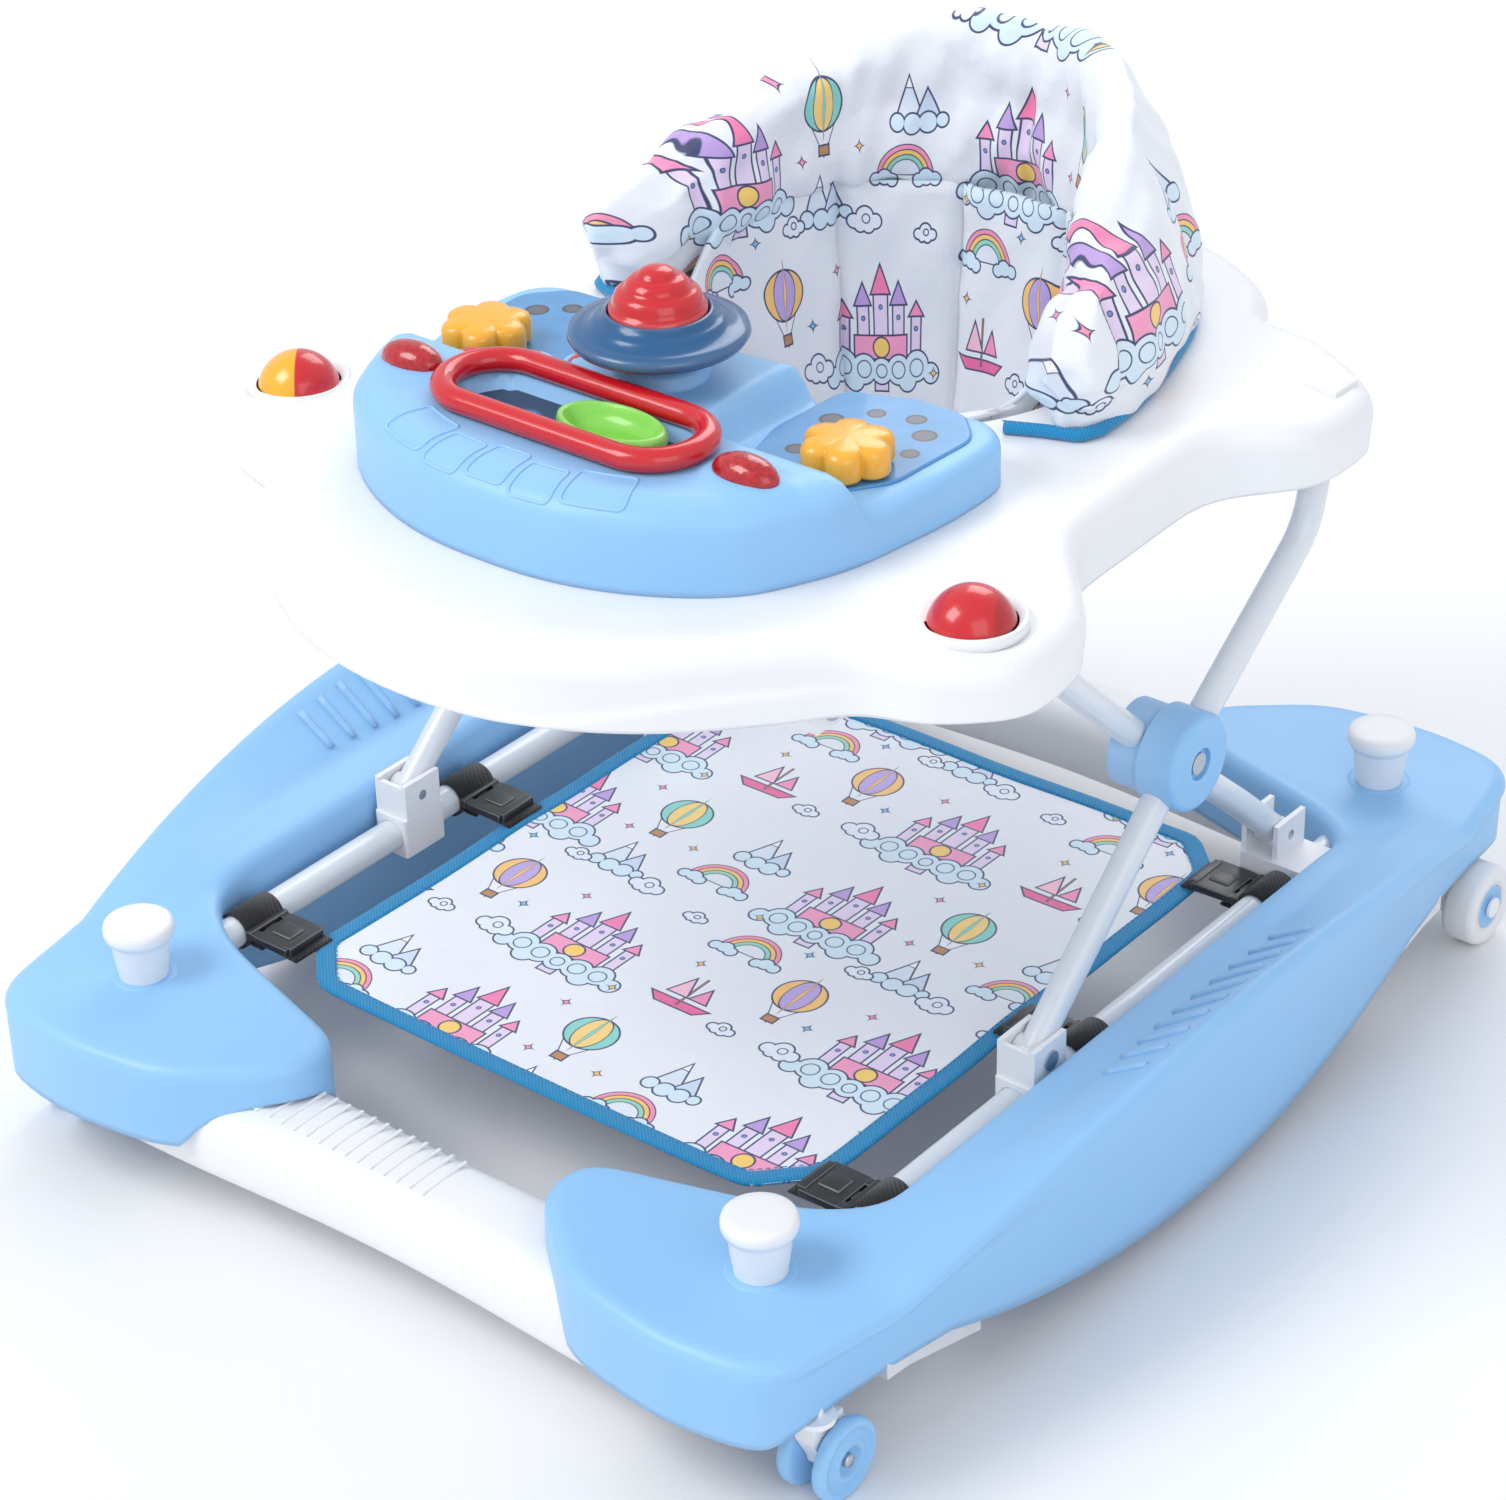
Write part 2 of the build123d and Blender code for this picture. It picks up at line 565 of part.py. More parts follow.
RING_TOP = 446
with BuildPart() as play_ring:
    with BuildSketch(Plane.XY.offset(TOY_RIDGE)):
        with Locations((0, -150)):
            SlotOverall(166, 66)
            SlotOverall(140, 40, mode=Mode.SUBTRACT)
    extrude(amount=RING_TOP - TOY_RIDGE)
    chamfer(play_ring.edges().group_by(Axis.Z)[-1], 3)
save(play_ring, "play_ring")

with BuildPart() as slider_dish:
    with BuildSketch(Plane.XY.offset(TOY_RIDGE - 7.5)):
        with Locations((24, -150)):
            Ellipse(32, 18)
    extrude(amount=14)
    with BuildSketch(Plane.XY.offset(TOY_RIDGE + 2)):
        with Locations((24, -150)):
            Ellipse(26, 13)
    extrude(amount=10, mode=Mode.SUBTRACT)
save(slider_dish, "slider_dish")

with BuildPart() as light_lenses:
    for side in (-1, 1):
        with BuildSketch(Plane.XY.offset(TOY_RIDGE)):
            with Locations((side * 106.5, -150)):
                Ellipse(19, 11)
        extrude(amount=12)
save(light_lenses, "light_lenses")

with BuildPart() as flower_panels:
    with BuildSketch(Plane.XY.offset(TOY_DECK)):
        with Locations((104, -58), (-104, -58)):
            RectangleRounded(76, 92, 10)
        with Locations((FLOWER_X, FLOWER_Y), (-FLOWER_X, FLOWER_Y)):
            Circle(5, mode=Mode.SUBTRACT)
        for spot in BUTTON_SPOTS:
            with Locations(spot):
                Circle(BUTTON_R + 4.5, mode=Mode.SUBTRACT)
        with Locations((0, WHEEL_Y)):
            Circle(30, mode=Mode.SUBTRACT)
    extrude(amount=1.5)
save(flower_panels, "flower_panels")

# ---------------------------------------------------------------- toys that move
with BuildPart() as steering_wheel:
    with BuildSketch(Plane.XZ.offset(-WHEEL_Y)):
        with BuildLine():
            Polyline(
                (11, 443), (18, 443), (20, 452), (44, 453), (45.5, 457), (44, 461), (31, 466), (27, 470),
                (25.5, 470), (25.5, 456), (11, 456), close=True,
            )
        make_face()
    revolve(axis=Axis((0, WHEEL_Y, 0), (0, 0, 1)))
    with Locations((0, WHEEL_Y, 420)):
        Cylinder(7.9, 36, align=(Align.CENTER, Align.CENTER, Align.MIN))
        Cylinder(4.3, 60, align=(Align.CENTER, Align.CENTER, Align.MIN), mode=Mode.SUBTRACT)
    with Locations((0, WHEEL_Y, 443)):
        Cylinder(18, 13, align=(Align.CENTER, Align.CENTER, Align.MIN))
        Cylinder(4.3, 60, mode=Mode.SUBTRACT)
save(steering_wheel, "steering_wheel")

with BuildPart() as horn_button:
    with Locations((0, WHEEL_Y, 0)):
        with Locations((0, 0, 469)):
            Sphere(22)
        with Locations((0, 0, 461)):
            Box(60, 60, 30, align=(Align.CENTER, Align.CENTER, Align.MAX), mode=Mode.SUBTRACT)
            Cylinder(24.5, 9, align=(Align.CENTER, Align.CENTER, Align.MIN))
            Cylinder(4, 21, align=(Align.CENTER, Align.CENTER, Align.MAX))
save(horn_button, "horn_button")

FLOWER_LOW, FLOWER_TOP = 418, 434
for side, name in ((-1, "left_flower"), (1, "right_flower")):
    with BuildPart() as flower:
        with BuildSketch(Plane.XY.offset(FLOWER_LOW)):
            with Locations((side * FLOWER_X, FLOWER_Y)):
                Circle(17)
                with PolarLocations(15, 6):
                    Circle(9.5)
        extrude(amount=FLOWER_TOP - FLOWER_LOW)
        fillet(flower.edges().group_by(Axis.Z)[-1], 3)
        with Locations((side * FLOWER_X, FLOWER_Y, FLOWER_LOW - 12)):
            Cylinder(4.2, 12, align=(Align.CENTER, Align.CENTER, Align.MIN))
    save(flower, name)

for index, spot in enumerate(BUTTON_SPOTS):
    with BuildPart() as button:
        with BuildSketch(Plane.XY.offset(TOY_DECK + 3)):
            with Locations(spot):
                Circle(BUTTON_R)
        extrude(amount=15)
        fillet(button.edges().group_by(Axis.Z)[-1], 3)
    save(button, f"tune_button_{index + 1}")

for side, name in ((-1, "left_ball"), (1, "right_ball")):
    with BuildPart() as ball:
        with Locations((side * BALL_X, BALL_Y, BALL_Z)):
            Sphere(BALL_R)
    save(ball, name)

# ---------------------------------------------------------------- sound box under the toy tray
with BuildPart() as sound_box:
    with Locations((0, -130, TOY_LOW)):
        Box(120, 90, 18, align=(Align.CENTER, Align.CENTER, Align.MIN))
save(sound_box, "sound_box")

# ---------------------------------------------------------------- seat
with BuildPart() as seat_pad:
    with BuildSketch(Plane.XY.offset(TRAY_TOP + 0.5)):
        with BuildLine():
            Line((160, 22), (157, SEAT_Y))
            ThreePointArc((157, SEAT_Y), (0, SEAT_Y + 155), (-157, SEAT_Y))
            Polyline((-157, SEAT_Y), (-160, 22), (-132, 22), (-124, SEAT_Y))
            ThreePointArc((-124, SEAT_Y), (0, SEAT_Y + 122), (124, SEAT_Y))
            Polyline((124, SEAT_Y), (132, 22), (160, 22))
        make_face()
    extrude(amount=PAD_TOP - TRAY_TOP)
    with BuildSketch(Plane.YZ):
        with BuildLine():
            Spline((20, 422), (60, 450), (120, 480), (190, 505), (270, PAD_TOP))
            Polyline((270, PAD_TOP), (270, TRAY_TOP), (20, TRAY_TOP), (20, 422))
        make_face()
    extrude(amount=200, both=True, mode=Mode.INTERSECT)
save(seat_pad, "seat_pad")

SLING_LOW = 200
with BuildPart() as seat_sling:
    with BuildSketch(Plane.XZ.offset(-SEAT_Y)):
        with BuildLine():
            Polyline((0, SLING_LOW), (58, SLING_LOW))
            Spline((58, SLING_LOW), (100, 262), (OPENING_R - 6, TRAY_TOP - 4))
            Polyline((OPENING_R - 6, TRAY_TOP - 4), (OPENING_R - 9, TRAY_TOP - 4))
            Spline((OPENING_R - 9, TRAY_TOP - 4), (97, 264), (56, SLING_LOW + 3))
            Polyline((56, SLING_LOW + 3), (0, SLING_LOW + 3), (0, SLING_LOW))
        make_face()
    revolve(axis=Axis((0, SEAT_Y, 0), (0, 0, 1)))
    for x in (-58, 58):
        with Locations(Location((x, 20, 262), (90, 0, 0))):
            Cylinder(42, 120, mode=Mode.SUBTRACT)
save(seat_sling, "seat_sling")
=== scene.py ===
import math
from functools import reduce

import bmesh
import bpy
import numpy as np
from mathutils import Matrix, Vector
from mathutils.geometry import delaunay_2d_cdt


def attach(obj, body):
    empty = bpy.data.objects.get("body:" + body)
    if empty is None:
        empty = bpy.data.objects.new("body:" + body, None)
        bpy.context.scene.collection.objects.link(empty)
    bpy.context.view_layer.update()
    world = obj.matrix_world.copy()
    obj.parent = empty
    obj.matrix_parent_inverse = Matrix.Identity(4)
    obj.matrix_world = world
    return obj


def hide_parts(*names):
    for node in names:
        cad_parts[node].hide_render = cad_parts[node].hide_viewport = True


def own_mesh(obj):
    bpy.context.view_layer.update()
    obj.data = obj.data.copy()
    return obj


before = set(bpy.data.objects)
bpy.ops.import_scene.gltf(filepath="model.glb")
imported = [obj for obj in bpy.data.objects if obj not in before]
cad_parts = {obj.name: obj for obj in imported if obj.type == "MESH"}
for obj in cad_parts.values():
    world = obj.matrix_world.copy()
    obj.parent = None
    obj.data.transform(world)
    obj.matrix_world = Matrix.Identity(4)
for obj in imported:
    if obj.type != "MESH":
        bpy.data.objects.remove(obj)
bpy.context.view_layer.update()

bl_info = {
    "name": "Baby Walker",
    "version": (1, 0, 0),
    "blender": (4, 5, 0),
    "location": "View3D > Sidebar > Walker",
    "description": "Builds the visual model of a folding baby walker round its packed frame",
    "category": "Object",
}

MM = 0.001
UP = Vector((0, 0, 1))
SEAT = (0.0, 108.0)          # middle of the seat opening, mm
SIDES = (("left", -1), ("right", 1))
ENDS = (("front", -1), ("rear", 1))


def srgb(red, green, blue):
    """Linear colour from 0-255 display values."""
    return tuple((v / 255 / 12.92) if v < 11 else ((v / 255 + 0.055) / 1.055) ** 2.4 for v in (red, green,
        blue))


def colour(label, rgb, description):
    """A colour property with its default in display values."""
    return bpy.props.FloatVectorProperty(
        name=label, description=description, subtype="COLOR", size=3, min=0, max=1, default=srgb(*rgb)
    )


def length(label, metres, description):
    """A length property in metres."""
    return bpy.props.FloatProperty(name=label, description=description, unit="LENGTH", default=metres)


class WalkerColours(bpy.types.PropertyGroup):
    """Colours of the walker's materials."""

    blue: colour("Light blue", (146, 198, 242), "Rockers, toy tray and hubs")
    white: colour("White", (240, 241, 243), "Tray, crossbars, knobs and brackets")
    tube: colour("Tube white", (226, 232, 238), "Painted steel tubes")
    cloth: colour("Cloth", (234, 238, 243), "Ground of the printed cloth")
    binding: colour("Binding", (0, 146, 204), "Edge tape of the seat and the mat")
    wheel: colour("Steering blue", (24, 88, 138), "Steering wheel")
    red: colour("Red", (205, 24, 34), "Horn, ring, buttons, lenses and balls")
    yellow: colour("Yellow", (246, 176, 38), "Flowers and half of the left ball")
    green: colour("Green", (138, 214, 84), "Sliding dish")
    panel: colour("Panel", (84, 150, 205), "Sunk panels under the flowers")
    black: colour("Black", (14, 14, 16), "Webbing and buckles")
    ink: colour("Ink", (58, 66, 108), "Lines of the print")


class WalkerSizes(bpy.types.PropertyGroup):
    """Sizes that the mouldings and soft goods are built from."""

    crest: length("Crest", 0.146, "Height of the rocker's outer crest over the floor")
    crease: length("Crease", 0.114, "Height of the crease where the ramp starts")
    lobe: length("Lobe top", 0.098, "Height of the rocker's flat ends")
    shoulder: length("Tray shoulder", 0.013, "Radius of the tray's edge rounding")
    ridge: length("Toy ridge", 0.434, "Height of the toy tray's ridge")
    deck: length("Toy deck", 0.415, "Height of the toy tray's sunk panels")
    pad: length("Pad thickness", 0.028, "Thickness of the seat's head band")
    swell: length("Swell", 0.006, "How far the padding may swell")
    tile: length("Print repeat", 0.200, "Width and height of one repeat of the print")
    rib_pitch: length("Rib pitch", 0.009, "Distance between ribs on the front crossbar")
    stitch: length("Stitch", 0.0042, "Distance between stitches on the edge tape")
    bar_ribs: bpy.props.IntProperty(name="Bar ribs", description="Ribs on the front crossbar", default=16,
        min=1)
    ramp_ribs: bpy.props.IntProperty(name="Ramp ribs", description="Ribs on each rocker ramp", default=10,
        min=1)


class WalkerSettings(bpy.types.PropertyGroup):
    """Everything that the walker's operators read."""

    colours: bpy.props.PointerProperty(name="Colours", description="Material colours", type=WalkerColours)
    sizes: bpy.props.PointerProperty(name="Sizes", description="Shape sizes", type=WalkerSizes)


# ---------------------------------------------------------------- shader maths
class Value:
    """One socket of a material being built, with arithmetic on it."""

    def __init__(self, paint, socket):
        self.paint, self.socket = paint, socket

    def math(self, operation, *others, clamp=False):
        return self.paint.add("Math", [self, *others], operation=operation, use_clamp=clamp)

    def vector(self, operation, *others, output=0):
        return self.paint.add("VectorMath", [self, *others], output=output, operation=operation)

    def __add__(self, other):
        return self.math("ADD", other)

    def __radd__(self, other):
        return self.math("ADD", other)

    def __sub__(self, other):
        return self.math("SUBTRACT", other)

    def __rsub__(self, other):
        return self.paint.add("Math", [other, self], operation="SUBTRACT")

    def __mul__(self, other):
        return self.math("MULTIPLY", other)

    def __rmul__(self, other):
        return self.math("MULTIPLY", other)

    def __truediv__(self, other):
        return self.math("DIVIDE", other)

    def __rtruediv__(self, other):
        return self.paint.add("Math", [other, self], operation="DIVIDE")

    def __neg__(self):
        return self.math("MULTIPLY", -1.0)

    def __abs__(self):
        return self.math("ABSOLUTE")

    def at_least(self, other):
        return self.math("MAXIMUM", other)

    def at_most(self, other):
        return self.math("MINIMUM", other)

    def below(self, limit, soft=0.4):
        """1 where the value is under the limit, with a soft edge."""
        return ((limit - self) / soft + 0.5).math("ADD", 0.0, clamp=True)

    def parts(self):
        node = self.paint.make("SeparateXYZ", [self])
        return [Value(self.paint, node.outputs[i]) for i in range(3)]


class Paint:
    def __init__(self, name):
        self.material = bpy.data.materials.new(name)
        self.material.use_nodes = True
        self.tree = self.material.node_tree
        self.surface = self.tree.nodes["Principled BSDF"]

    def feed(self, socket, value):
        if isinstance(value, Value):
            self.tree.links.new(value.socket, socket)
        elif value is not None:
            wide = hasattr(value, "__len__") and hasattr(socket.default_value, "__len__")
            socket.default_value = (*value,
                1.0) if wide and len(socket.default_value) > len(value) else value

    def make(self, kind, inputs=(), **settings):
        node = self.tree.nodes.new("ShaderNode" + kind)
        for key, value in settings.items():
            setattr(node, key, value)
        for key, value in inputs.items() if isinstance(inputs, dict) else enumerate(inputs):
            self.feed(node.inputs[key], value)
        return node

    def add(self, kind, inputs=(), output=0, **settings):
        return Value(self, self.make(kind, inputs, **settings).outputs[output])

    def mix(self, amount, first, second):
        node = self.tree.nodes.new("ShaderNodeMix")
        node.data_type = "RGBA"
        for index, value in ((0, amount), (6, first), (7, second)):
            self.feed(node.inputs[index], value)
        return Value(self, node.outputs[2])

    def place(self):
        return self.add("TexCoord", output=3)

    def noise(self, where, scale, detail=2.0):
        return self.add("TexNoise", {"Vector": where, "Scale": scale, "Detail": detail})

    def bump(self, height, strength, distance=0.001, under=None):
        return self.add(
            "Bump", {"Strength": strength, "Distance": distance, "Height": height, "Normal": under}
        )

    def finish(self, **inputs):
        for key, value in inputs.items():
            self.feed(self.surface.inputs[key.replace("_", " ")], value)
        return self.material


def plastic(name, rgb, rough=0.42, grain=0.12, coat=0.0, through=0.0):
    """Moulded plastic: fine spark grain, slow tone changes, lighter rubbed edges."""
    p = Paint(name)
    where = p.place()
    slow = p.noise(where, 9.0, 3.0)
    fine = p.noise(where, 1500.0, 2.0)
    edge = (p.add("NewGeometry", output=7) - 0.53).math("MULTIPLY", 6.0, clamp=True)
    tone = p.mix(slow, tuple(0.93 * c for c in rgb), tuple(min(1, 1.05 * c) for c in rgb))
    worn = p.mix(edge * 0.22, tone, (0.9, 0.92, 0.95))
    return p.finish(
        Base_Color=worn, Roughness=rough - 0.06 + 0.12 * slow, IOR=1.5,
        Normal=p.bump(fine, grain, 0.0004), Coat_Weight=coat, Transmission_Weight=through,
    )


def enamel(name, rgb):
    """Powder-coated steel: a clear coat over faint orange peel."""
    p = Paint(name)
    where = p.place()
    peel = p.noise(where, 420.0, 1.0)
    tone = p.mix(p.noise(where, 14.0), tuple(0.94 * c for c in rgb), rgb)
    return p.finish(
        Base_Color=tone, Roughness=0.25 + 0.1 * peel, Coat_Weight=0.5, Normal=p.bump(peel, 0.08, 0.0005)
    )


def metal(name):
    """Zinc-plated steel with fine turning marks."""
    p = Paint(name)
    where = p.place()
    marks = p.noise(where, 700.0, 4.0)
    return p.finish(
        Base_Color=p.mix(marks, (0.42, 0.43, 0.46), (0.66, 0.67, 0.7)), Metallic=1.0,
        Roughness=0.22 + 0.2 * marks, Normal=p.bump(marks, 0.15, 0.0003),
    )


def rubber(name, rgb):
    """Soft tyre or pad: matt, finely pitted."""
    p = Paint(name)
    where = p.place()
    pits = p.noise(where, 900.0, 3.0)
    return p.finish(
        Base_Color=p.mix(p.noise(where, 30.0), tuple(0.88 * c for c in rgb), rgb),
        Roughness=0.68 + 0.15 * pits, Normal=p.bump(pits, 0.25, 0.0004),
    )


def woven(name, rgb, pitch):
    """Tape or webbing: diagonal ribs crossed by fine threads, with painted shade darkening the colour in the
    grooves between them.
    """
    p = Paint(name)
    x, y, z = p.place().parts()
    ribs = ((x + y + z * 0.6) * (2 * math.pi / pitch)).math("SINE")
    threads = ((x - y + z) * (2 * math.pi / (pitch * 0.4))).math("SINE")
    height = ribs * 0.5 + threads * 0.2 + 0.5
    # painted shade: the colour drops to 0.68 of the tape's colour where the weave is low, in its grooves
    tone = p.mix(height.math("MULTIPLY", 1.0, clamp=True), tuple(0.68 * c for c in rgb), rgb)
    return p.finish(
        Base_Color=tone, Roughness=0.72, Sheen_Weight=0.25, Normal=p.bump(height, 0.5, 0.0004)
    )


def lens(name, rgb):
    """Clear tinted lens with a honeycomb reflector behind it."""
    p = Paint(name)
    where = p.place()
    cells = p.add("TexVoronoi", {"Vector": where, "Scale": 420.0})
    tone = p.mix(cells.math("MULTIPLY", 1.3, clamp=True), tuple(0.55 * c for c in rgb), rgb)
    return p.finish(
        Base_Color=tone, Roughness=0.16 + 0.1 * cells, Coat_Weight=0.6, Transmission_Weight=0.15,
        Normal=p.bump(cells, 0.2, 0.0006),
    )


def two_tone_and_shade(name, first, second, tilt):
    """Ball in two colours either side of a plane, with small raised dots; the left ball's yellow and red
    halves are moulded, the right ball's darker red side is painted shade.
    """
    p = Paint(name)
    x, y, z = p.place().parts()
    cells = p.add("TexVoronoi", {"Vector": p.place(), "Scale": 150.0})
    # side is 1 on one side of the plane, which takes the first colour; the other side takes the second
    # colour, which on the right ball is painted shade
    side = (x * tilt[0] + y * tilt[1] + z * tilt[2] - tilt[3]).below(0.0, 0.0008)
    return p.finish(
        Base_Color=p.mix(side, second, first), Roughness=0.2 + 0.1 * cells, Coat_Weight=0.5,
        Normal=p.bump(cells.below(0.12, 0.1), 0.15, 0.0004),
    )


def sticker(name, ground, dots):
    """Printed label under clear plastic: round spots on a plain ground."""
    p = Paint(name)
    where = p.place()
    tone = p.mix(p.noise(where, 60.0), tuple(0.8 * c for c in ground), tuple(min(1,
        1.15 * c) for c in ground))
    for x, y, radius, rgb in dots:
        flat = where.vector("MULTIPLY", (1000, 1000, 0))
        spot = flat.vector("DISTANCE", (x, y, 0), output=1)
        tone = p.mix(spot.below(radius, 0.5), tone, tuple(0.5 * c for c in rgb))
        tone = p.mix(spot.below(radius - 1.6, 0.5), tone, rgb)
    shine = p.noise(where, 25.0)
    return p.finish(Base_Color=tone, Roughness=0.3 + 0.14 * shine, Coat_Weight=0.25)


class Print:
    """Line-art motifs drawn one over another on the cloth's own coordinates, in millimetres."""

    def __init__(self, paint, flat, ground, ink):
        self.paint, self.flat, self.colour, self.ink = paint, flat, ground, ink

    def local(self, x, y, mirrored=False):
        here = self.flat.vector("SUBTRACT", (x, y, 0))
        if not mirrored:
            return here
        across, along, _ = here.parts()
        return self.paint.add("CombineXYZ", [abs(across), along])

    def round(self, here, x, y, radius):
        return here.vector("DISTANCE", (x, y, 0), output=1) - radius

    def block(self, here, x, y, half_x, half_y):
        gap = here.vector("SUBTRACT", (x, y, 0)).vector("ABSOLUTE").vector("SUBTRACT", (half_x, half_y, 0))
        across, along, _ = gap.parts()
        return across.at_least(along)

    def peak(self, here, x, y, half, height):
        across, along, _ = here.vector("SUBTRACT", (x, y, 0)).parts()
        slant = (abs(across) * height + (along - height) * half) / math.hypot(height, half)
        return slant.at_least(-along)

    def puffs(self, here, circles):
        return reduce(lambda a, b: a.at_most(b), [self.round(here, *c) for c in circles])

    def draw(self, shape, fill, line=0.55):
        if fill is not None:
            self.colour = self.paint.mix(shape.below(0.0, 0.3), self.colour, fill)
        self.colour = self.paint.mix(abs(shape).below(line, 0.35), self.colour, self.ink)

    def cloud(self, x, y, size, fill=(0.80, 0.86, 0.94)):
        here = self.local(x, y)
        spots = [(-9, 0, 5.5), (0, 3.5, 7.5), (9, 0, 5.5), (3, -3, 5.5), (-4, -3, 5)]
        self.draw(self.puffs(here, [tuple(size * v for v in s) for s in spots]), fill)
        self.draw(self.round(here, size, size * 2, size * 3.2), None, 0.4)

    def castle(self, x, y):
        here = self.local(x, y, mirrored=True)
        rows = [
            (26, 4, 3.6, 15, srgb(247, 150, 190)), (13, 11, 4.2, 22, srgb(190, 160, 220)),
            (0, 17, 5.2, 28, srgb(247, 132, 178)),
        ]
        for spot, top, half, tall, roof in rows:
            self.draw(self.block(here, spot, top - tall, half, tall), srgb(232, 214, 240))
            self.draw(self.peak(here, spot, top, half + 2, tall * 0.62), roof)
            self.draw(self.round(here, spot, top - 7, 1.3), srgb(120, 150, 210), 0.3)
        self.draw(self.block(here, 6.5, -13, 13, 7), srgb(246, 160, 196))
        self.draw(self.round(here, 0, -13, 6).at_least(-22 - here.parts()[1]), srgb(250, 208, 110))
        spots = [(0, -27, 8), (13, -26, 9), (27, -24, 9), (38, -28, 6), (20, -32, 7)]
        self.draw(self.puffs(here, spots), srgb(214, 234, 246))
        for spot in ((13, -26, 5), (27, -25, 5), (0, -27, 4)):
            self.draw(self.round(here, *spot), None, 0.4)

    def rainbow(self, x, y):
        here = self.local(x, y, mirrored=True)
        under = -2 - here.parts()[1]
        for radius, fill in ((19, (246, 150, 180)), (16, (250, 200, 110)), (13, (150, 215, 190)), (10, (226,
                233, 241))):
            self.draw(self.round(here, 0, -2, radius).at_least(under), srgb(*fill), 0.35)
        spots = [(14, -3, 5), (20, -4, 4), (9, -5, 4)]
        self.draw(self.puffs(here, spots), srgb(214, 234, 246))

    def balloon(self, x, y, first, second):
        here = self.local(x, y, mirrored=True)
        across, along, _ = here.parts()
        self.draw(self.peak(here.vector("MULTIPLY", (1, -1, 1)), 0, 8, 9, 18), srgb(240, 240, 245), 0.35)
        self.draw(self.round(here, 0, 4, 15), first)
        inner = (across * across * 3.2 + (along - 4) * (along - 4)).math("SQRT") - 15
        self.draw(inner, second)
        self.draw(abs(across) * 4 - 5 + abs(along - 4) * 0.25, first, 0.5)
        self.draw(self.block(here, 0, -22, 4, 3), srgb(190, 140, 90))

    def hills(self, x, y):
        here = self.local(x, y)
        self.draw(self.peak(here, -5, -9, 9, 24), srgb(222, 232, 244))
        self.draw(self.peak(here, 7, -9, 8, 17), srgb(206, 222, 240))
        self.draw(self.peak(here, -5, 8, 2.6, 7), srgb(250, 250, 252), 0.35)
        self.draw(self.puffs(here, [(-13, -11, 5), (-3, -12, 6), (7, -12, 6), (16, -11, 4)]), srgb(214, 234,
            246))

    def ship(self, x, y):
        here = self.local(x, y)
        self.draw(self.peak(here.vector("MULTIPLY", (1, -1, 1)), 0, 6, 20,
            20).at_least(-13 - here.parts()[1]), srgb(236, 110, 160))
        self.draw(self.block(here, 0, 4, 0.6, 14), srgb(190, 140, 90), 0.3)
        self.draw(self.peak(here, -6, -2, 7, 18), srgb(250, 196, 214))
        self.draw(self.peak(here, 8, -2, 6, 14), srgb(247, 150, 190))

    def star(self, x, y, size, fill):
        across, along, _ = self.local(x, y).parts()
        self.draw((abs(across).math("SQRT") + abs(along).math("SQRT")) * (size / 2) - size, fill, 0.35)


def printed(name, rgb, ink, tile):
    """Satin cloth with a storybook line print, a fine weave and small puckers."""
    p = Paint(name)
    place = p.add("UVMap", uv_map="cloth")
    flat = place.vector("SCALE")
    p.feed(flat.socket.node.inputs["Scale"], 1000.0)
    across, along, _ = flat.parts()
    wide = tile * 1000
    row = (along / wide).math("FLOOR")
    shifted = across + row.math("MODULO", 2.0) * (wide / 2)
    inside = p.add("CombineXYZ", [shifted.math("FLOORED_MODULO", wide), along.math("FLOORED_MODULO", wide)])
    d = Print(p, inside, rgb, ink)
    d.castle(46, 148)
    d.castle(150, 44)
    d.balloon(110, 172, srgb(140, 214, 204), srgb(250, 214, 130))
    d.balloon(76, 66, srgb(250, 200, 120), srgb(190, 170, 225))
    d.rainbow(168, 132)
    d.rainbow(28, 86)
    d.hills(112, 120)
    d.ship(28, 34)
    d.hills(176, 172)
    for spot in ((140, 104, 0.8), (100, 22, 0.85), (88, 106, 0.6), (182, 96, 0.55), (62, 20, 0.6)):
        d.cloud(*spot)
    for x, y, size, fill in (
        (10, 118, 3, (250, 206, 110)), (92, 146, 2.6, (250, 150, 180)), (136, 150, 2.6, (250, 206, 110)),
        (56, 104, 2.4, (140, 200, 240)), (120, 76, 2.6, (250, 150, 180)), (98, 48, 2.2, (140, 200, 240)),
        (190, 16, 2.6, (250, 206, 110)), (14, 62, 2.4, (250, 206, 110)), (80, 190, 2.4, (250, 150, 180)),
    ):
        d.star(x, y, size, srgb(*fill))
    weave = (across * 9.0).math("SINE") * (along * 9.0).math("SINE")
    creases = p.noise(flat, 0.055, 3.0)
    normal = p.bump(weave, 0.08, 0.0003, p.bump(creases, 0.35, 0.004))
    return p.finish(
        Base_Color=d.colour, Roughness=0.44 + 0.16 * creases, Sheen_Weight=0.2, Normal=normal,
            Specular_IOR_Level=0.45
    )


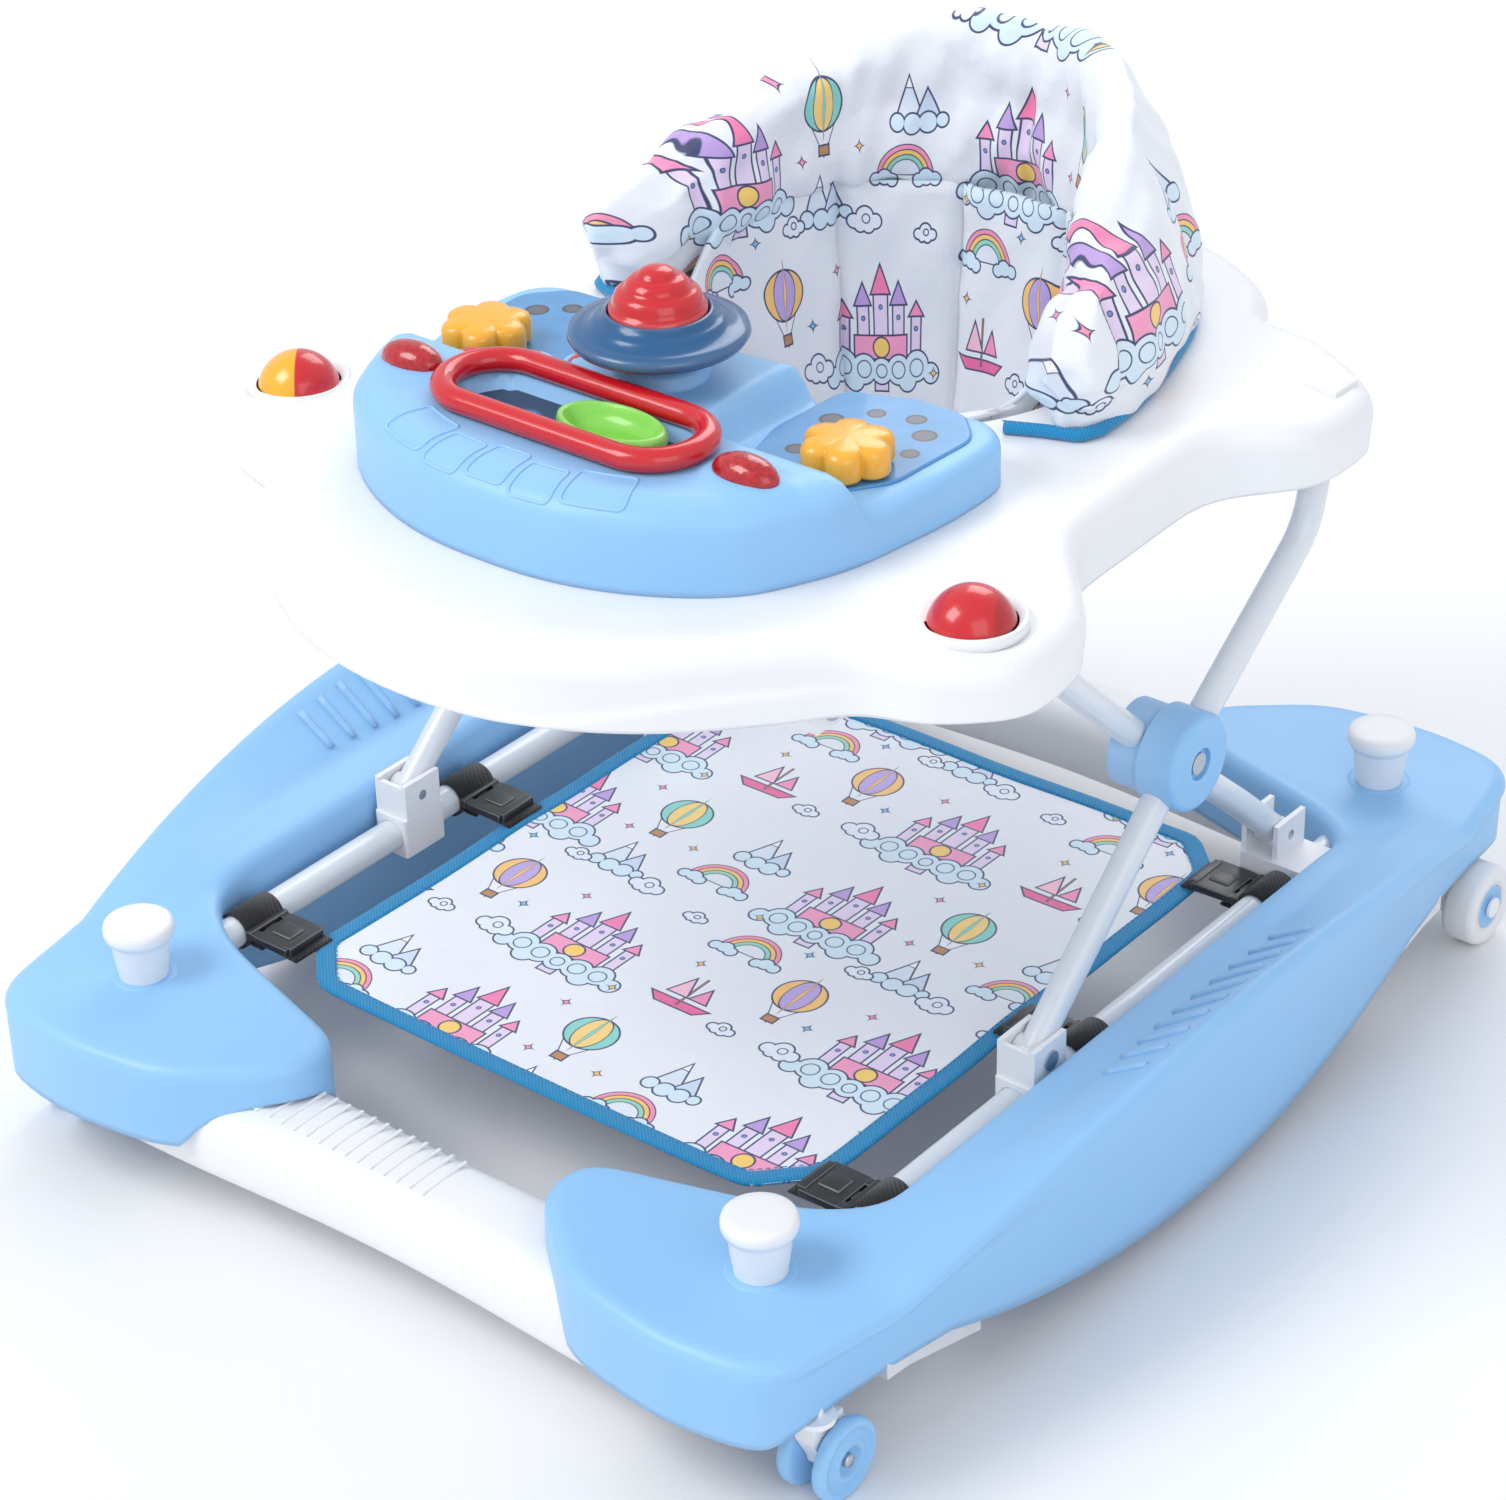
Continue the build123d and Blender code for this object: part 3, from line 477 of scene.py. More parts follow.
def palette(walker):
    """Every material, by the record's slot name."""
    c = walker.colours
    rgb = {key: tuple(getattr(c, key)) for key in (
        "blue", "white", "tube", "cloth", "binding", "wheel", "red", "yellow", "green", "panel", "black",
            "ink")}
    dark = [(6, -150, 9, (0.75, 0.06, 0.07)), (-30, -152, 8, (0.05, 0.3, 0.6)), (48, -148, 7, (0.7, 0.5,
        0.05))]
    spots = []
    for side in (-1, 1):
        for x, y, r in ((78, -48, 6.5), (92, -30, 5), (126, -36, 6.5), (132, -56, 5), (84, -84, 5.5), (112,
                -24, 5.5)):
            spots.append((side * x, y, r, (0.10, 0.11, 0.13)))
    return {
        "blue_plastic": plastic("blue_plastic", rgb["blue"], 0.4),
        "caster_blue": plastic("caster_blue", rgb["blue"], 0.36),
        "white_plastic": plastic("white_plastic", rgb["white"], 0.44),
        "soft_tyre": rubber("soft_tyre", rgb["white"]),
        "grip_pad": rubber("grip_pad", (0.75, 0.76, 0.8)),
        "foot_rubber": rubber("foot_rubber", (0.6, 0.62, 0.66)),
        "painted_tube": enamel("painted_tube", rgb["tube"]),
        "steel": metal("steel"),
        "printed_fabric": printed("printed_fabric", rgb["cloth"], rgb["ink"], walker.sizes.tile),
        "binding": woven("binding", rgb["binding"], 0.0024),
        "webbing": woven("webbing", rgb["black"], 0.003),
        "black_plastic": plastic("black_plastic", rgb["black"], 0.34),
        "wheel_blue": plastic("wheel_blue", rgb["wheel"], 0.24, 0.06, 0.3),
        "red_plastic": plastic("red_plastic", rgb["red"], 0.22, 0.05, 0.4),
        "red_lens": lens("red_lens", rgb["red"]),
        "yellow_plastic": plastic("yellow_plastic", rgb["yellow"], 0.28, 0.06, 0.3),
        "green_plastic": plastic("green_plastic", rgb["green"], 0.28, 0.06, 0.3),
        "panel_blue": sticker("panel_blue", rgb["panel"], spots),
        "ring_label": sticker("ring_label", (0.02, 0.03, 0.08), dark),
        "left_ball": two_tone_and_shade("left_ball", rgb["yellow"], rgb["red"], (0.78, 0.62, 0.0, -0.2463)),
        # the right ball is one red; its darker side, 0.75 of the red on the +x side, is painted shade
        "right_ball": two_tone_and_shade("right_ball", rgb["red"], tuple(0.75 * v for v in rgb["red"]), (1, 0.6, 0,
            0.158)),
    }


PAINTS = {}


def dress(name, paint):
    """Give a CAD node one of the materials."""
    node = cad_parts[name]
    if not node.material_slots:
        node.data.materials.append(None)
    for place in node.material_slots:
        place.material = PAINTS[paint]


# ---------------------------------------------------------------- meshes
def piece(name, points, faces, paint, body, stands_for=(), smooth=True):
    """A new object from points in millimetres, riding on a CAD body."""
    mesh = bpy.data.meshes.new(name)
    mesh.from_pydata([tuple(float(v) * MM for v in p) for p in points], [],
        [tuple(int(i) for i in f) for f in faces])
    mesh.validate()
    return settle(bpy.data.objects.new(name, mesh), paint, body, stands_for, smooth)


def settle(thing, paint, body, stands_for=(), smooth=True):
    """Link, paint and mount a piece; what it stands for is hidden."""
    if thing.name not in bpy.context.scene.collection.objects:
        bpy.context.scene.collection.objects.link(thing)
    thing.data.materials.clear()
    thing.data.materials.append(PAINTS[paint])
    if smooth:
        thing.data.shade_smooth()
    if body:
        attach(thing, body)
    if stands_for:
        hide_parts(*stands_for)
    return thing


def bake(thing):
    """Apply a piece's modifiers by reading back its evaluated mesh."""
    graph = bpy.context.evaluated_depsgraph_get()
    graph.update()
    mesh = bpy.data.meshes.new_from_object(thing.evaluated_get(graph), preserve_all_data_layers=True,
        depsgraph=graph)
    thing.modifiers.clear()
    old, thing.data = thing.data, mesh
    mesh.name = thing.name
    bpy.data.meshes.remove(old)
    return thing


def fix_normals(thing):
    """Point a closed mesh's normals outwards."""
    data = bmesh.new()
    data.from_mesh(thing.data)
    bmesh.ops.recalc_face_normals(data, faces=data.faces)
    if data.calc_volume(signed=True) < 0:
        bmesh.ops.reverse_faces(data, faces=data.faces)
    data.to_mesh(thing.data)
    data.free()
    return thing


def rounded(points, radii):
    """A polyline with its inner corners rounded."""
    made = [Vector(points[0])]
    for before, corner, after, radius in zip(points, points[1:], points[2:], radii):
        corner = Vector(corner)
        one, two = (Vector(before) - corner).normalized(), (Vector(after) - corner).normalized()
        angle = one.angle(two)
        reach = radius / math.tan(angle / 2)
        middle = corner + (one + two).normalized() * (radius / math.sin(angle / 2))
        start, end, turn = corner + one * reach - middle, corner + two * reach - middle, math.pi - angle
        steps = max(3, round(turn / 0.13))
        for i in range(steps + 1):
            t = i / steps
            made.append(middle + (start * math.sin((1 - t) * turn) + end * math.sin(t
                * turn)) / math.sin(turn))
    made.append(Vector(points[-1]))
    return made


def arc(first, through, last, steps=24):
    """Points of the circle arc through three (x, y) points."""
    (ax, ay), (bx, by), (cx, cy) = first, through, last
    d = 2 * (ax * (by - cy) + bx * (cy - ay) + cx * (ay - by))
    a2, b2, c2 = ax * ax + ay * ay, bx * bx + by * by, cx * cx + cy * cy
    ux = (a2 * (by - cy) + b2 * (cy - ay) + c2 * (ay - by)) / d
    uy = (a2 * (cx - bx) + b2 * (ax - cx) + c2 * (bx - ax)) / d
    radius = math.hypot(ax - ux, ay - uy)
    one, mid, two = (math.atan2(y - uy, x - ux) for x, y in (first, through, last))
    mid, two = one + (mid - one) % (2 * math.pi), one + (two - one) % (2 * math.pi)
    if mid > two:
        two -= 2 * math.pi
    return [Vector((ux + radius * math.cos(one + (two - one) * i / steps),
                    uy + radius * math.sin(one + (two - one) * i / steps))) for i in range(steps + 1)]


def evenly(points, step, closed=True):
    """Points at even steps along a line."""
    line = np.array([tuple(p) for p in points], float)
    keep = np.r_[True, np.linalg.norm(np.diff(line, axis=0), axis=1) > 1e-3]
    line = line[keep]
    if closed and np.linalg.norm(line[0] - line[-1]) > 1e-3:
        line = np.vstack([line, line[:1]])
    run = np.r_[0, np.cumsum(np.linalg.norm(np.diff(line, axis=0), axis=1))]
    count = max(4, round(run[-1] / step))
    at = np.linspace(0, run[-1], count + 1)
    if closed:
        at = at[:-1]
    return np.stack([np.interp(at, run, line[:, i]) for i in range(line.shape[1])], axis=1)


def mirrored_loop(half, axis):
    """A closed loop from one half and its mirror image (axis 0 flips x, 1 flips y)."""
    half = [Vector(p) for p in half]
    other = [Vector((-p.x, p.y)) if axis == 0 else Vector((p.x, -p.y)) for p in reversed(half)]
    return half + other


def soften(loop, times):
    """Average a closed loop with its neighbours, which rounds its corners."""
    for _ in range(times):
        loop = (np.roll(loop, 1, axis=0) + 2 * loop + np.roll(loop, -1, axis=0)) / 4
    return loop


def area(loop):
    x, y = loop[:, 0], loop[:, 1]
    return 0.5 * float(np.sum(x * np.roll(y, -1) - np.roll(x, -1) * y))


def outward(loop):
    """Unit normals of a closed loop, away from its inside."""
    along = np.roll(loop, -1, axis=0) - np.roll(loop, 1, axis=0)
    normal = np.stack([along[:, 1], -along[:, 0]], axis=1)
    normal /= np.linalg.norm(normal, axis=1, keepdims=True)
    return normal if area(loop) > 0 else -normal


def edge_distance(points, loops):
    """Distance from each point to the nearest loop."""
    best = np.full(len(points), 1e9)
    for loop in loops:
        a, b = loop, np.roll(loop, -1, axis=0)
        ab = b - a
        for i in range(0, len(points), 800):
            p = points[i:i + 800, None, :]
            t = np.clip(((p - a) * ab).sum(-1) / (ab * ab).sum(-1), 0, 1)
            gap = np.linalg.norm(p - (a + ab * t[..., None]), axis=-1).min(axis=1)
            best[i:i + 800] = np.minimum(best[i:i + 800], gap)
    return best


def within(points, loop):
    """Which points lie inside a closed loop."""
    inside = np.zeros(len(points), bool)
    x, y = points[:, 0], points[:, 1]
    for (ax, ay), (bx, by) in zip(loop, np.roll(loop, -1, axis=0)):
        if ay == by:
            continue
        crosses = (ay > y) != (by > y)
        inside ^= crosses & (x < (bx - ax) * (y - ay) / (by - ay) + ax)
    return inside


def ease(low, high, value):
    t = np.clip((value - low) / (high - low), 0, 1)
    return t * t * (3 - 2 * t)


def shoulder(gap, radius, height=None):
    """Drop of a rounded edge at a distance in from it."""
    t = 1 - np.clip(gap / radius, 0, 1)
    return (1 - np.sqrt(np.clip(1 - t * t, 0, 1))) * (radius if height is None else height)


def moulding(name, loops, top, low, paint, body, stands_for=(), wall=3.0, grid=7.0,
             bands=(0.6, 1.6, 3, 5, 8, 12), levels=6, lean=None):
    """A moulded shell: a top skin over the outline, skirts down every edge, and a wall thickness."""
    loops = [np.array(loop, float) for loop in loops]
    rings = []
    for index, loop in enumerate(loops):
        normal = outward(loop) * (1 if index == 0 else -1)
        for band in bands:
            ring = loop - normal * band
            rings.append(ring[edge_distance(ring, loops) > band * 0.97])
    low_corner, high_corner = loops[0].min(0), loops[0].max(0)
    xs = np.arange(low_corner[0], high_corner[0] + grid, grid)
    ys = np.arange(low_corner[1], high_corner[1] + grid, grid * 0.866)
    cells = np.array([(x + (grid / 2 if j % 2 else 0), y) for j, y in enumerate(ys) for x in xs])
    cells = cells[within(cells, loops[0])]
    cells = cells[edge_distance(cells, loops) > bands[-1] + grid * 0.45]
    flat = np.vstack(loops + rings + [cells])
    flat = flat[np.r_[np.ones(sum(map(len, loops)), bool), within(flat[sum(map(len, loops)):], loops[0])]]
    for hole in loops[1:]:
        outside = ~within(flat, hole)
        outside[: sum(map(len, loops))] = True
        flat = flat[outside]
    edges, start = [], 0
    for loop in loops:
        edges += [(start + i, start + (i + 1) % len(loop)) for i in range(len(loop))]
        start += len(loop)
    points, _, faces, came_from, _, _ = delaunay_2d_cdt([Vector(p) for p in flat.tolist()], edges, [], 1,
        1e-5)
    plan = np.array([tuple(p) for p in points])
    faces = np.array(faces)
    middle = plan[faces].mean(axis=1)
    keep = within(middle, loops[0])
    for hole in loops[1:]:
        keep &= ~within(middle, hole)
    faces = faces[keep]
    gap = edge_distance(plan, loops)
    height = top(plan[:, 0], plan[:, 1], gap)
    found = {}
    for index, sources in enumerate(came_from):
        for source in sources:
            found[source] = index
    verts = [list(v) for v in np.c_[plan, height]]
    faces = [list(f) for f in faces]
    start = 0
    for loop in loops:
        ring = [found[start + i] for i in range(len(loop))]
        start += len(loop)
        floor = low(loop[:, 0], loop[:, 1])
        above = np.array([verts[i] for i in ring])
        for level in range(1, levels + 1):
            t = level / levels
            z = above[:, 2] * (1 - t) + floor * t
            xy = loop.copy() if lean is None else lean(loop, z, above[:, 2])
            fresh = list(range(len(verts), len(verts) + len(loop)))
            verts += [list(v) for v in np.c_[xy, z]]
            for i in range(len(loop)):
                j = (i + 1) % len(loop)
                faces.append([ring[i], ring[j], fresh[j], fresh[i]])
            ring = fresh
    used = sorted({i for f in faces for i in f})
    order = {old: new for new, old in enumerate(used)}
    thing = piece(name, [verts[i] for i in used], [[order[i] for i in f] for f in faces], paint, None)
    orient_up(thing)
    solid = thing.modifiers.new("wall", "SOLIDIFY")
    solid.thickness, solid.offset = wall * MM, -1
    bake(thing)
    fix_normals(thing)
    return settle(thing, paint, body, stands_for)


def orient_up(thing):
    """Make an open top skin's normals consistent, facing up."""
    data = bmesh.new()
    data.from_mesh(thing.data)
    bmesh.ops.recalc_face_normals(data, faces=data.faces)
    data.normal_update()
    data.faces.ensure_lookup_table()
    if sum(f.normal.z * f.calc_area() for f in data.faces) < 0:
        bmesh.ops.reverse_faces(data, faces=data.faces)
    data.to_mesh(thing.data)
    data.free()


def turned(name, centre, profile, paint, body, stands_for=(), radius=None, axis="Z", segments=72):
    """A closed turned piece from (radius, height) points; radius(angle) may vary the outline."""
    points, faces, count = [], [], segments
    turn = np.linspace(0, 2 * math.pi, count, endpoint=False)
    factor = np.ones(count) if radius is None else np.array([radius(a) for a in turn])
    rows = []
    for r, h in profile:
        if r < 1e-6:
            rows.append([len(points)])
            points.append((0, 0, h))
        else:
            rows.append(list(range(len(points), len(points) + count)))
            points += [(r * k * math.cos(a), r * k * math.sin(a), h) for a, k in zip(turn, factor)]
    for one, two in zip(rows, rows[1:]):
        for i in range(count):
            j = (i + 1) % count
            face = [one[i % len(one)], one[j % len(one)], two[j % len(two)], two[i % len(two)]]
            face = list(dict.fromkeys(face))
            if len(face) > 2:
                faces.append(face)
    for row in (rows[0], rows[-1]):
        if len(row) > 1:
            faces.append(row)
    if axis == "X":
        points = [(z, x, y) for x, y, z in points]
    points = [tuple(a + b for a, b in zip(p, centre)) for p in points]
    return settle(fix_normals(piece(name, points, faces, paint, None)), paint, body, stands_for)


def swept(name, line, section, paint, body, closed=True, stands_for=(), up=UP):
    """A closed sweep of a section, given as (side, up) points, along a line."""
    line = np.array([tuple(p) for p in line], float)
    section = np.array(section, float)
    count, around = len(line), len(section)
    points = []
    for i in range(count):
        if closed:
            along = Vector(line[(i + 1) % count] - line[i - 1])
        else:
            along = Vector(line[min(i + 1, count - 1)] - line[max(i - 1, 0)])
        along.normalize()
        side = along.cross(up).normalized()
        over = side.cross(along)
        for a, b in section:
            points.append(tuple(Vector(line[i]) + side * float(a) + over * float(b)))
    faces = []
    for i in range(count if closed else count - 1):
        k = (i + 1) % count
        for j in range(around):
            m = (j + 1) % around
            faces.append([i * around + j, i * around + m, k * around + m, k * around + j])
    if not closed:
        faces += [list(range(around)), list(range((count - 1) * around, count * around))]
    return settle(fix_normals(piece(name, points, faces, paint, None)), paint, body, stands_for)


def ring_section(across, up=None, count=14):
    up = across if up is None else up
    return [(across * math.cos(2 * math.pi * i / count),
        up * math.sin(2 * math.pi * i / count)) for i in range(count)]


def boxes(name, blocks, paint, body, bevel=0.8, stands_for=()):
    """Rounded blocks as one piece, each ((x, y, z) centre, (x, y, z) size)."""
    points, faces = [], []
    for (cx, cy, cz), (sx, sy, sz) in blocks:
        base = len(points)
        for x in (-0.5, 0.5):
            for y in (-0.5, 0.5):
                for z in (-0.5, 0.5):
                    points.append((cx + x * sx, cy + y * sy, cz + z * sz))
        for face in ((0, 1, 3, 2), (4, 6, 7, 5), (0, 4, 5, 1), (2, 3, 7, 6), (0, 2, 6, 4), (1, 5, 7, 3)):
            faces.append([base + i for i in face])
    thing = piece(name, points, faces, paint, None, smooth=False)
    soft = thing.modifiers.new("edges", "BEVEL")
    soft.width, soft.segments = bevel * MM, 3
    bake(thing)
    return settle(fix_normals(thing), paint, body, stands_for)


# ---------------------------------------------------------------- geometry nodes
def node_group(name, inputs):
    """An empty geometry group with its inputs and one geometry output."""
    group = bpy.data.node_groups.new(name, "GeometryNodeTree")
    group.interface.new_socket("Geometry", in_out="INPUT", socket_type="NodeSocketGeometry")
    group.interface.new_socket("Geometry", in_out="OUTPUT", socket_type="NodeSocketGeometry")
    for label, kind in inputs:
        group.interface.new_socket(label, in_out="INPUT", socket_type="NodeSocket" + kind)
    return group, group.nodes.new("NodeGroupInput"), group.nodes.new("NodeGroupOutput")


def instance_group(name, along_line):
    """Group that sets an object at every point of a row, or at even steps along the mesh's own line."""
    inputs = [("Part", "Object"), ("Step", "Float"), ("Material", "Material")]
    group, given, result = node_group(name, inputs)
    link, new = group.links.new, group.nodes.new
    source = new("GeometryNodeObjectInfo")
    link(given.outputs["Part"], source.inputs["Object"])
    spread = new("GeometryNodeInstanceOnPoints")
    if along_line:
        curve, spaced = new("GeometryNodeMeshToCurve"), new("GeometryNodeResampleCurve")
        spaced.mode = "LENGTH"
        tangent, align = new("GeometryNodeInputTangent"), new("FunctionNodeAlignEulerToVector")
        align.axis = "X"
        link(given.outputs["Geometry"], curve.inputs[0])
        link(curve.outputs[0], spaced.inputs[0])
        link(given.outputs["Step"], spaced.inputs["Length"])
        link(spaced.outputs[0], spread.inputs["Points"])
        link(tangent.outputs[0], align.inputs["Vector"])
        link(align.outputs[0], spread.inputs["Rotation"])
    else:
        vary = new("ShaderNodeMath")
        vary.operation = "MULTIPLY"
        link(given.outputs["Step"], vary.inputs[0])
        vary.inputs[1].default_value = 1.0
        link(given.outputs["Geometry"], spread.inputs["Points"])
        link(vary.outputs[0], spread.inputs["Scale"])
    link(source.outputs["Geometry"], spread.inputs["Instance"])
    real, coat = new("GeometryNodeRealizeInstances"), new("GeometryNodeSetMaterial")
    link(spread.outputs[0], real.inputs[0])
    link(real.outputs[0], coat.inputs["Geometry"])
    link(given.outputs["Material"], coat.inputs["Material"])
    link(coat.outputs[0], result.inputs[0])
    return group


GROUPS = {}


def repeated(name, line, part, step, paint, body, along_line=False):
    """Copies of a small mesh at points, or along a line, as one piece."""
    key = "along" if along_line else "at_points"
    if key not in GROUPS:
        GROUPS[key] = instance_group("repeat_" + key, along_line)
    mesh = bpy.data.meshes.new(name)
    edges = [(i, i + 1) for i in range(len(line) - 1)] if along_line else []
    mesh.from_pydata([tuple(float(v) * MM for v in p) for p in line], edges, [])
    thing = bpy.data.objects.new(name, mesh)
    bpy.context.scene.collection.objects.link(thing)
    modifier = thing.modifiers.new("repeat", "NODES")
    modifier.node_group = GROUPS[key]
    sockets = {s.name: s.identifier for s in GROUPS[key].interface.items_tree if s.in_out == "INPUT"}
    modifier[sockets["Part"]] = part
    modifier[sockets["Step"]] = float(step)
    modifier[sockets["Material"]] = PAINTS[paint]
    bpy.context.view_layer.update()
    bake(thing)
    bpy.data.objects.remove(part)
    return settle(thing, paint, body)


def seed_part(name, points, faces, bevel=None):
    """A small mesh at the origin that a row repeats, in millimetres."""
    thing = fix_normals(piece(name, points, faces, "white_plastic", None))
    if bevel:
        soft = thing.modifiers.new("edges", "BEVEL")
        soft.width, soft.segments = bevel * MM, 2
        bake(thing)
    return thing


def seed_box(name, size, bevel):
    x, y, z = (v / 2 for v in size)
    points = [(i * x, j * y, k * z) for i in (-1, 1) for j in (-1, 1) for k in (-1, 1)]
    faces = [(0, 1, 3, 2), (4, 6, 7, 5), (0, 4, 5, 1), (2, 3, 7, 6), (0, 2, 6, 4), (1, 5, 7, 3)]
    return seed_part(name, points, faces, bevel)


# ---------------------------------------------------------------- base
def rocker_loop(side):
    corners = [(232, 0), (232, -208), (198, -230), (82, -262), (82, -296), (140, -343), (205, -352), (266,
        -343), (276, -290)]
    half = rounded(corners, [18, 60, 12, 20, 50, 80, 26]) + arc((276, -290), (299.25, -145), (307, 0))[1:]
    loop = soften(evenly(mirrored_loop(half, 1), 4.5), 14)
    loop[:, 0] *= side
    return loop


def rocker_top(sizes, side):
    """Height of the rocker's top skin."""
    crest, crease, lobe = sizes.crest / MM, sizes.crease / MM, sizes.lobe / MM

    def top(x, y, gap):
        x, y = x * side, np.abs(y)
        bow = 276 + 31 * np.clip(1 - (y / 300) ** 2, 0, 1)
        inner = lobe + (crease - 6 - lobe) * (1 - ease(170, 262, y))
        fold = lobe + (crease - lobe) * (1 - ease(190, 275, y))
        peak = lobe + (crest - lobe) * np.clip(1 - (y / 262) ** 1.75, 0, 1)
        start = 258                 # where the flat inner strip ends and the ramp begins
        ramp = np.clip((x - start) / (bow - 5 - start), 0, 1)
        strip = np.clip((x - 232) / (start - 232), 0, 1)
        height = np.where(x > start, fold + (peak - fold) * ramp, inner + (fold - inner) * strip)
        tongue = np.abs(x - 262 + 0.10 * np.clip(y - 120, 0, 200))
        height = height - 1.3 * np.exp(-((tongue / 3.2) ** 2)) * (1 - ease(225, 262, y))
        return height - shoulder(gap, 9.0, 8.0)

    return top


def rocker_low(side):
    def low(x, y):
        x, y = x * side, np.abs(y)
        radius = (215**2 + 37**2) / 74
        arch = 13 + radius - np.sqrt(np.clip(radius**2 - np.minimum(y, 215) ** 2, 0, None))
        floor = np.where(y < 215, arch, 50.0)
        over_bar = 47 + 29 * np.sqrt(np.clip(1 - ((y - 298) / 37) ** 2, 0, 1))
        return np.where((x < 150) & (np.abs(y - 298) < 37), over_bar, floor)

    return low


def rocker_lean(side):
    def lean(loop, z, top):
        made = loop.copy()
        share = ease(255, 285, loop[:, 0] * side)
        made[:, 0] -= side * share * np.clip(125 - z, 0, 120) * 0.2
        return made

    return lean


def build_base(walker):
    sizes = walker.sizes
    for name, side in SIDES:
        moulding(f"{name}_rocker_shell", [rocker_loop(side)], rocker_top(sizes, side), rocker_low(side),
                 "blue_plastic", "base", [f"{name}_rocker"], wall=3.0, levels=9, lean=rocker_lean(side))
        heights = rocker_top(sizes, side)
        line, spread = [], sizes.ramp_ribs
        for i in range(spread):
            y = -76 + 152 * i / (spread - 1)
            reach = 11 + 6 * math.cos(math.pi * y / 200)
            for x in np.linspace(281 - reach, 281 + reach * 0.8, 6):
                z = float(heights(np.array([side * x]), np.array([y]), np.array([50.0]))[0])
                line.append((side * x, y, z + 0.1))
        for i in range(spread):
            run = line[i * 6:(i + 1) * 6]
            swept(f"{name}_ramp_rib_{i + 1}", run, ring_section(2.3, 2.0, 8), "blue_plastic", "base",
                closed=False)
    for end, way in ENDS:
        points, faces = [], []
        around = 40
        stations = np.linspace(-184, 184, 47)
        for x in stations:
            waist = math.cos(math.pi * x / 368) ** 2
            deep, tall = 33 * (1 - 0.15 * waist), 25.5 * (1 - 0.10 * waist)
            for k in range(around):
                a = 2 * math.pi * k / around
                ca, sa = math.cos(a), math.sin(a)
                points.append((x, way * 298 + deep * abs(ca) ** 0.62 * np.sign(ca),
                               48.5 + 1.5 * waist + tall * abs(sa) ** 0.62 * np.sign(sa)))
        for i in range(len(stations) - 1):
            for k in range(around):
                m = (k + 1) % around
                faces.append([i * around + k, i * around + m, (i + 1) * around + m, (i + 1) * around + k])
        faces += [list(range(around)), list(range((len(stations) - 1) * around, len(stations) * around))]
        bar = fix_normals(piece(f"{end}_bar_shell", points, faces, "white_plastic", None))
        settle(bar, "white_plastic", "base", [f"{end}_crossbar"])
    rib = seed_box("rib_seed", (2.4, 34, 1.6), 0.7)
    pitch = sizes.rib_pitch / MM
    line = []
    for i in range(sizes.bar_ribs):
        x = -118 + i * pitch
        waist = math.cos(math.pi * x / 368) ** 2
        line.append((x, -298 + 3, 48.5 + 1.5 * waist + 25.5 * (1 - 0.10 * waist) + 0.1))
    repeated("front_bar_ribs", line, rib, 1.0, "white_plastic", "base")
    for name, side in SIDES:
        for end, way in ENDS:
            profile = [(0, 131.6), (12, 131.6), (16.6, 131.3), (18.3, 130.2), (19, 128), (19, 125), (18.2,
                122.6),
                       (16.4, 121.6), (15.6, 119), (14.8, 110), (13.2, 99), (12.9, 70), (12.9, 40.2), (0,
                           40.2)]
            turned(f"{name}_{end}_knob", (side * 211, way * 281, 0), profile, "white_plastic",
                   f"{name}_{end}_stop", [f"{name}_{end}_stop_knob"])
            dress(f"{name}_{end}_stop_foot", "foot_rubber")
            collar = [(13.6, 98.4), (17.5, 98.4), (18.5, 97.4), (18.5, 94), (13.6, 94)]
            turned(f"{name}_{end}_collar", (side * 211, way * 281, 0), collar, "blue_plastic", "base")
    for node, paint in (("side_rails", "painted_tube"), ("friction_pads", "grip_pad"), ("base_screws",
            "steel")):
        dress(node, paint)


def build_wheels(walker):
    for name, side in SIDES:
        dress(f"{name}_caster_fork", "white_plastic")
        dress(f"{name}_rear_wheel_mount", "white_plastic")
        middle = (side * 260, -295, 22)
        for way in (-1, 1):
            inner, outer = 6.2 * way, 14.8 * way
            profile = [(0, inner), (19, inner), (21.4, inner + 1.4 * way), (22, inner + 3 * way), (22,
                outer - 3 * way),
                       (21.2, outer - 1.0 * way), (19.4, outer - 0.2 * way), (17.6, outer - 0.4 * way),
                       (16.8, outer - 1.6 * way), (13, outer - 1.8 * way), (10.6, outer), (8.4, outer),
                       (7.6, outer - 3.4 * way), (0, outer - 3.4 * way)]
            stands = [f"{name}_caster_wheels"] if way == 1 else []
            turned(f"{name}_caster_wheel_{'ab'[way > 0]}", middle, profile, "caster_blue",
                f"{name}_caster_wheels",
                   stands, axis="X")
        screw = [(0, 15 * side), (3.2, 14.6 * side), (3.6, 13.4 * side), (3.6, 11.2 * side), (0,
            11.2 * side)]
        turned(f"{name}_caster_screw", middle, screw, "steel", f"{name}_caster_wheels", axis="X",
            segments=32)
        hub = (side * 266, 305, 24)
        tyre = [(13, -10), (20, -10), (22.8, -9.2), (24, -6.5), (24, 6.5), (22.8, 9.2), (20, 10), (16.6,
            9.4), (13, 9.2)]
        tyre = [(r, h * side) for r, h in tyre]
        wheel = turned(f"{name}_rear_tyre_shell", hub, tyre + [tyre[0]], "soft_tyre", f"{name}_rear_wheel",
                       [f"{name}_rear_tyre"], axis="X")
        wheel.data.validate()
        face = [(4.1, -9.5), (13, -9.5), (13, 8.6), (11.2, 9.6), (9.4, 8.4), (6.2, 8.2), (5.2, 9.4), (4.1,
            9.4)]
        turned(f"{name}_rear_hub_shell", hub, [(r, h * side) for r, h in face + [face[0]]], "caster_blue",
               f"{name}_rear_wheel", [f"{name}_rear_hub"], axis="X")


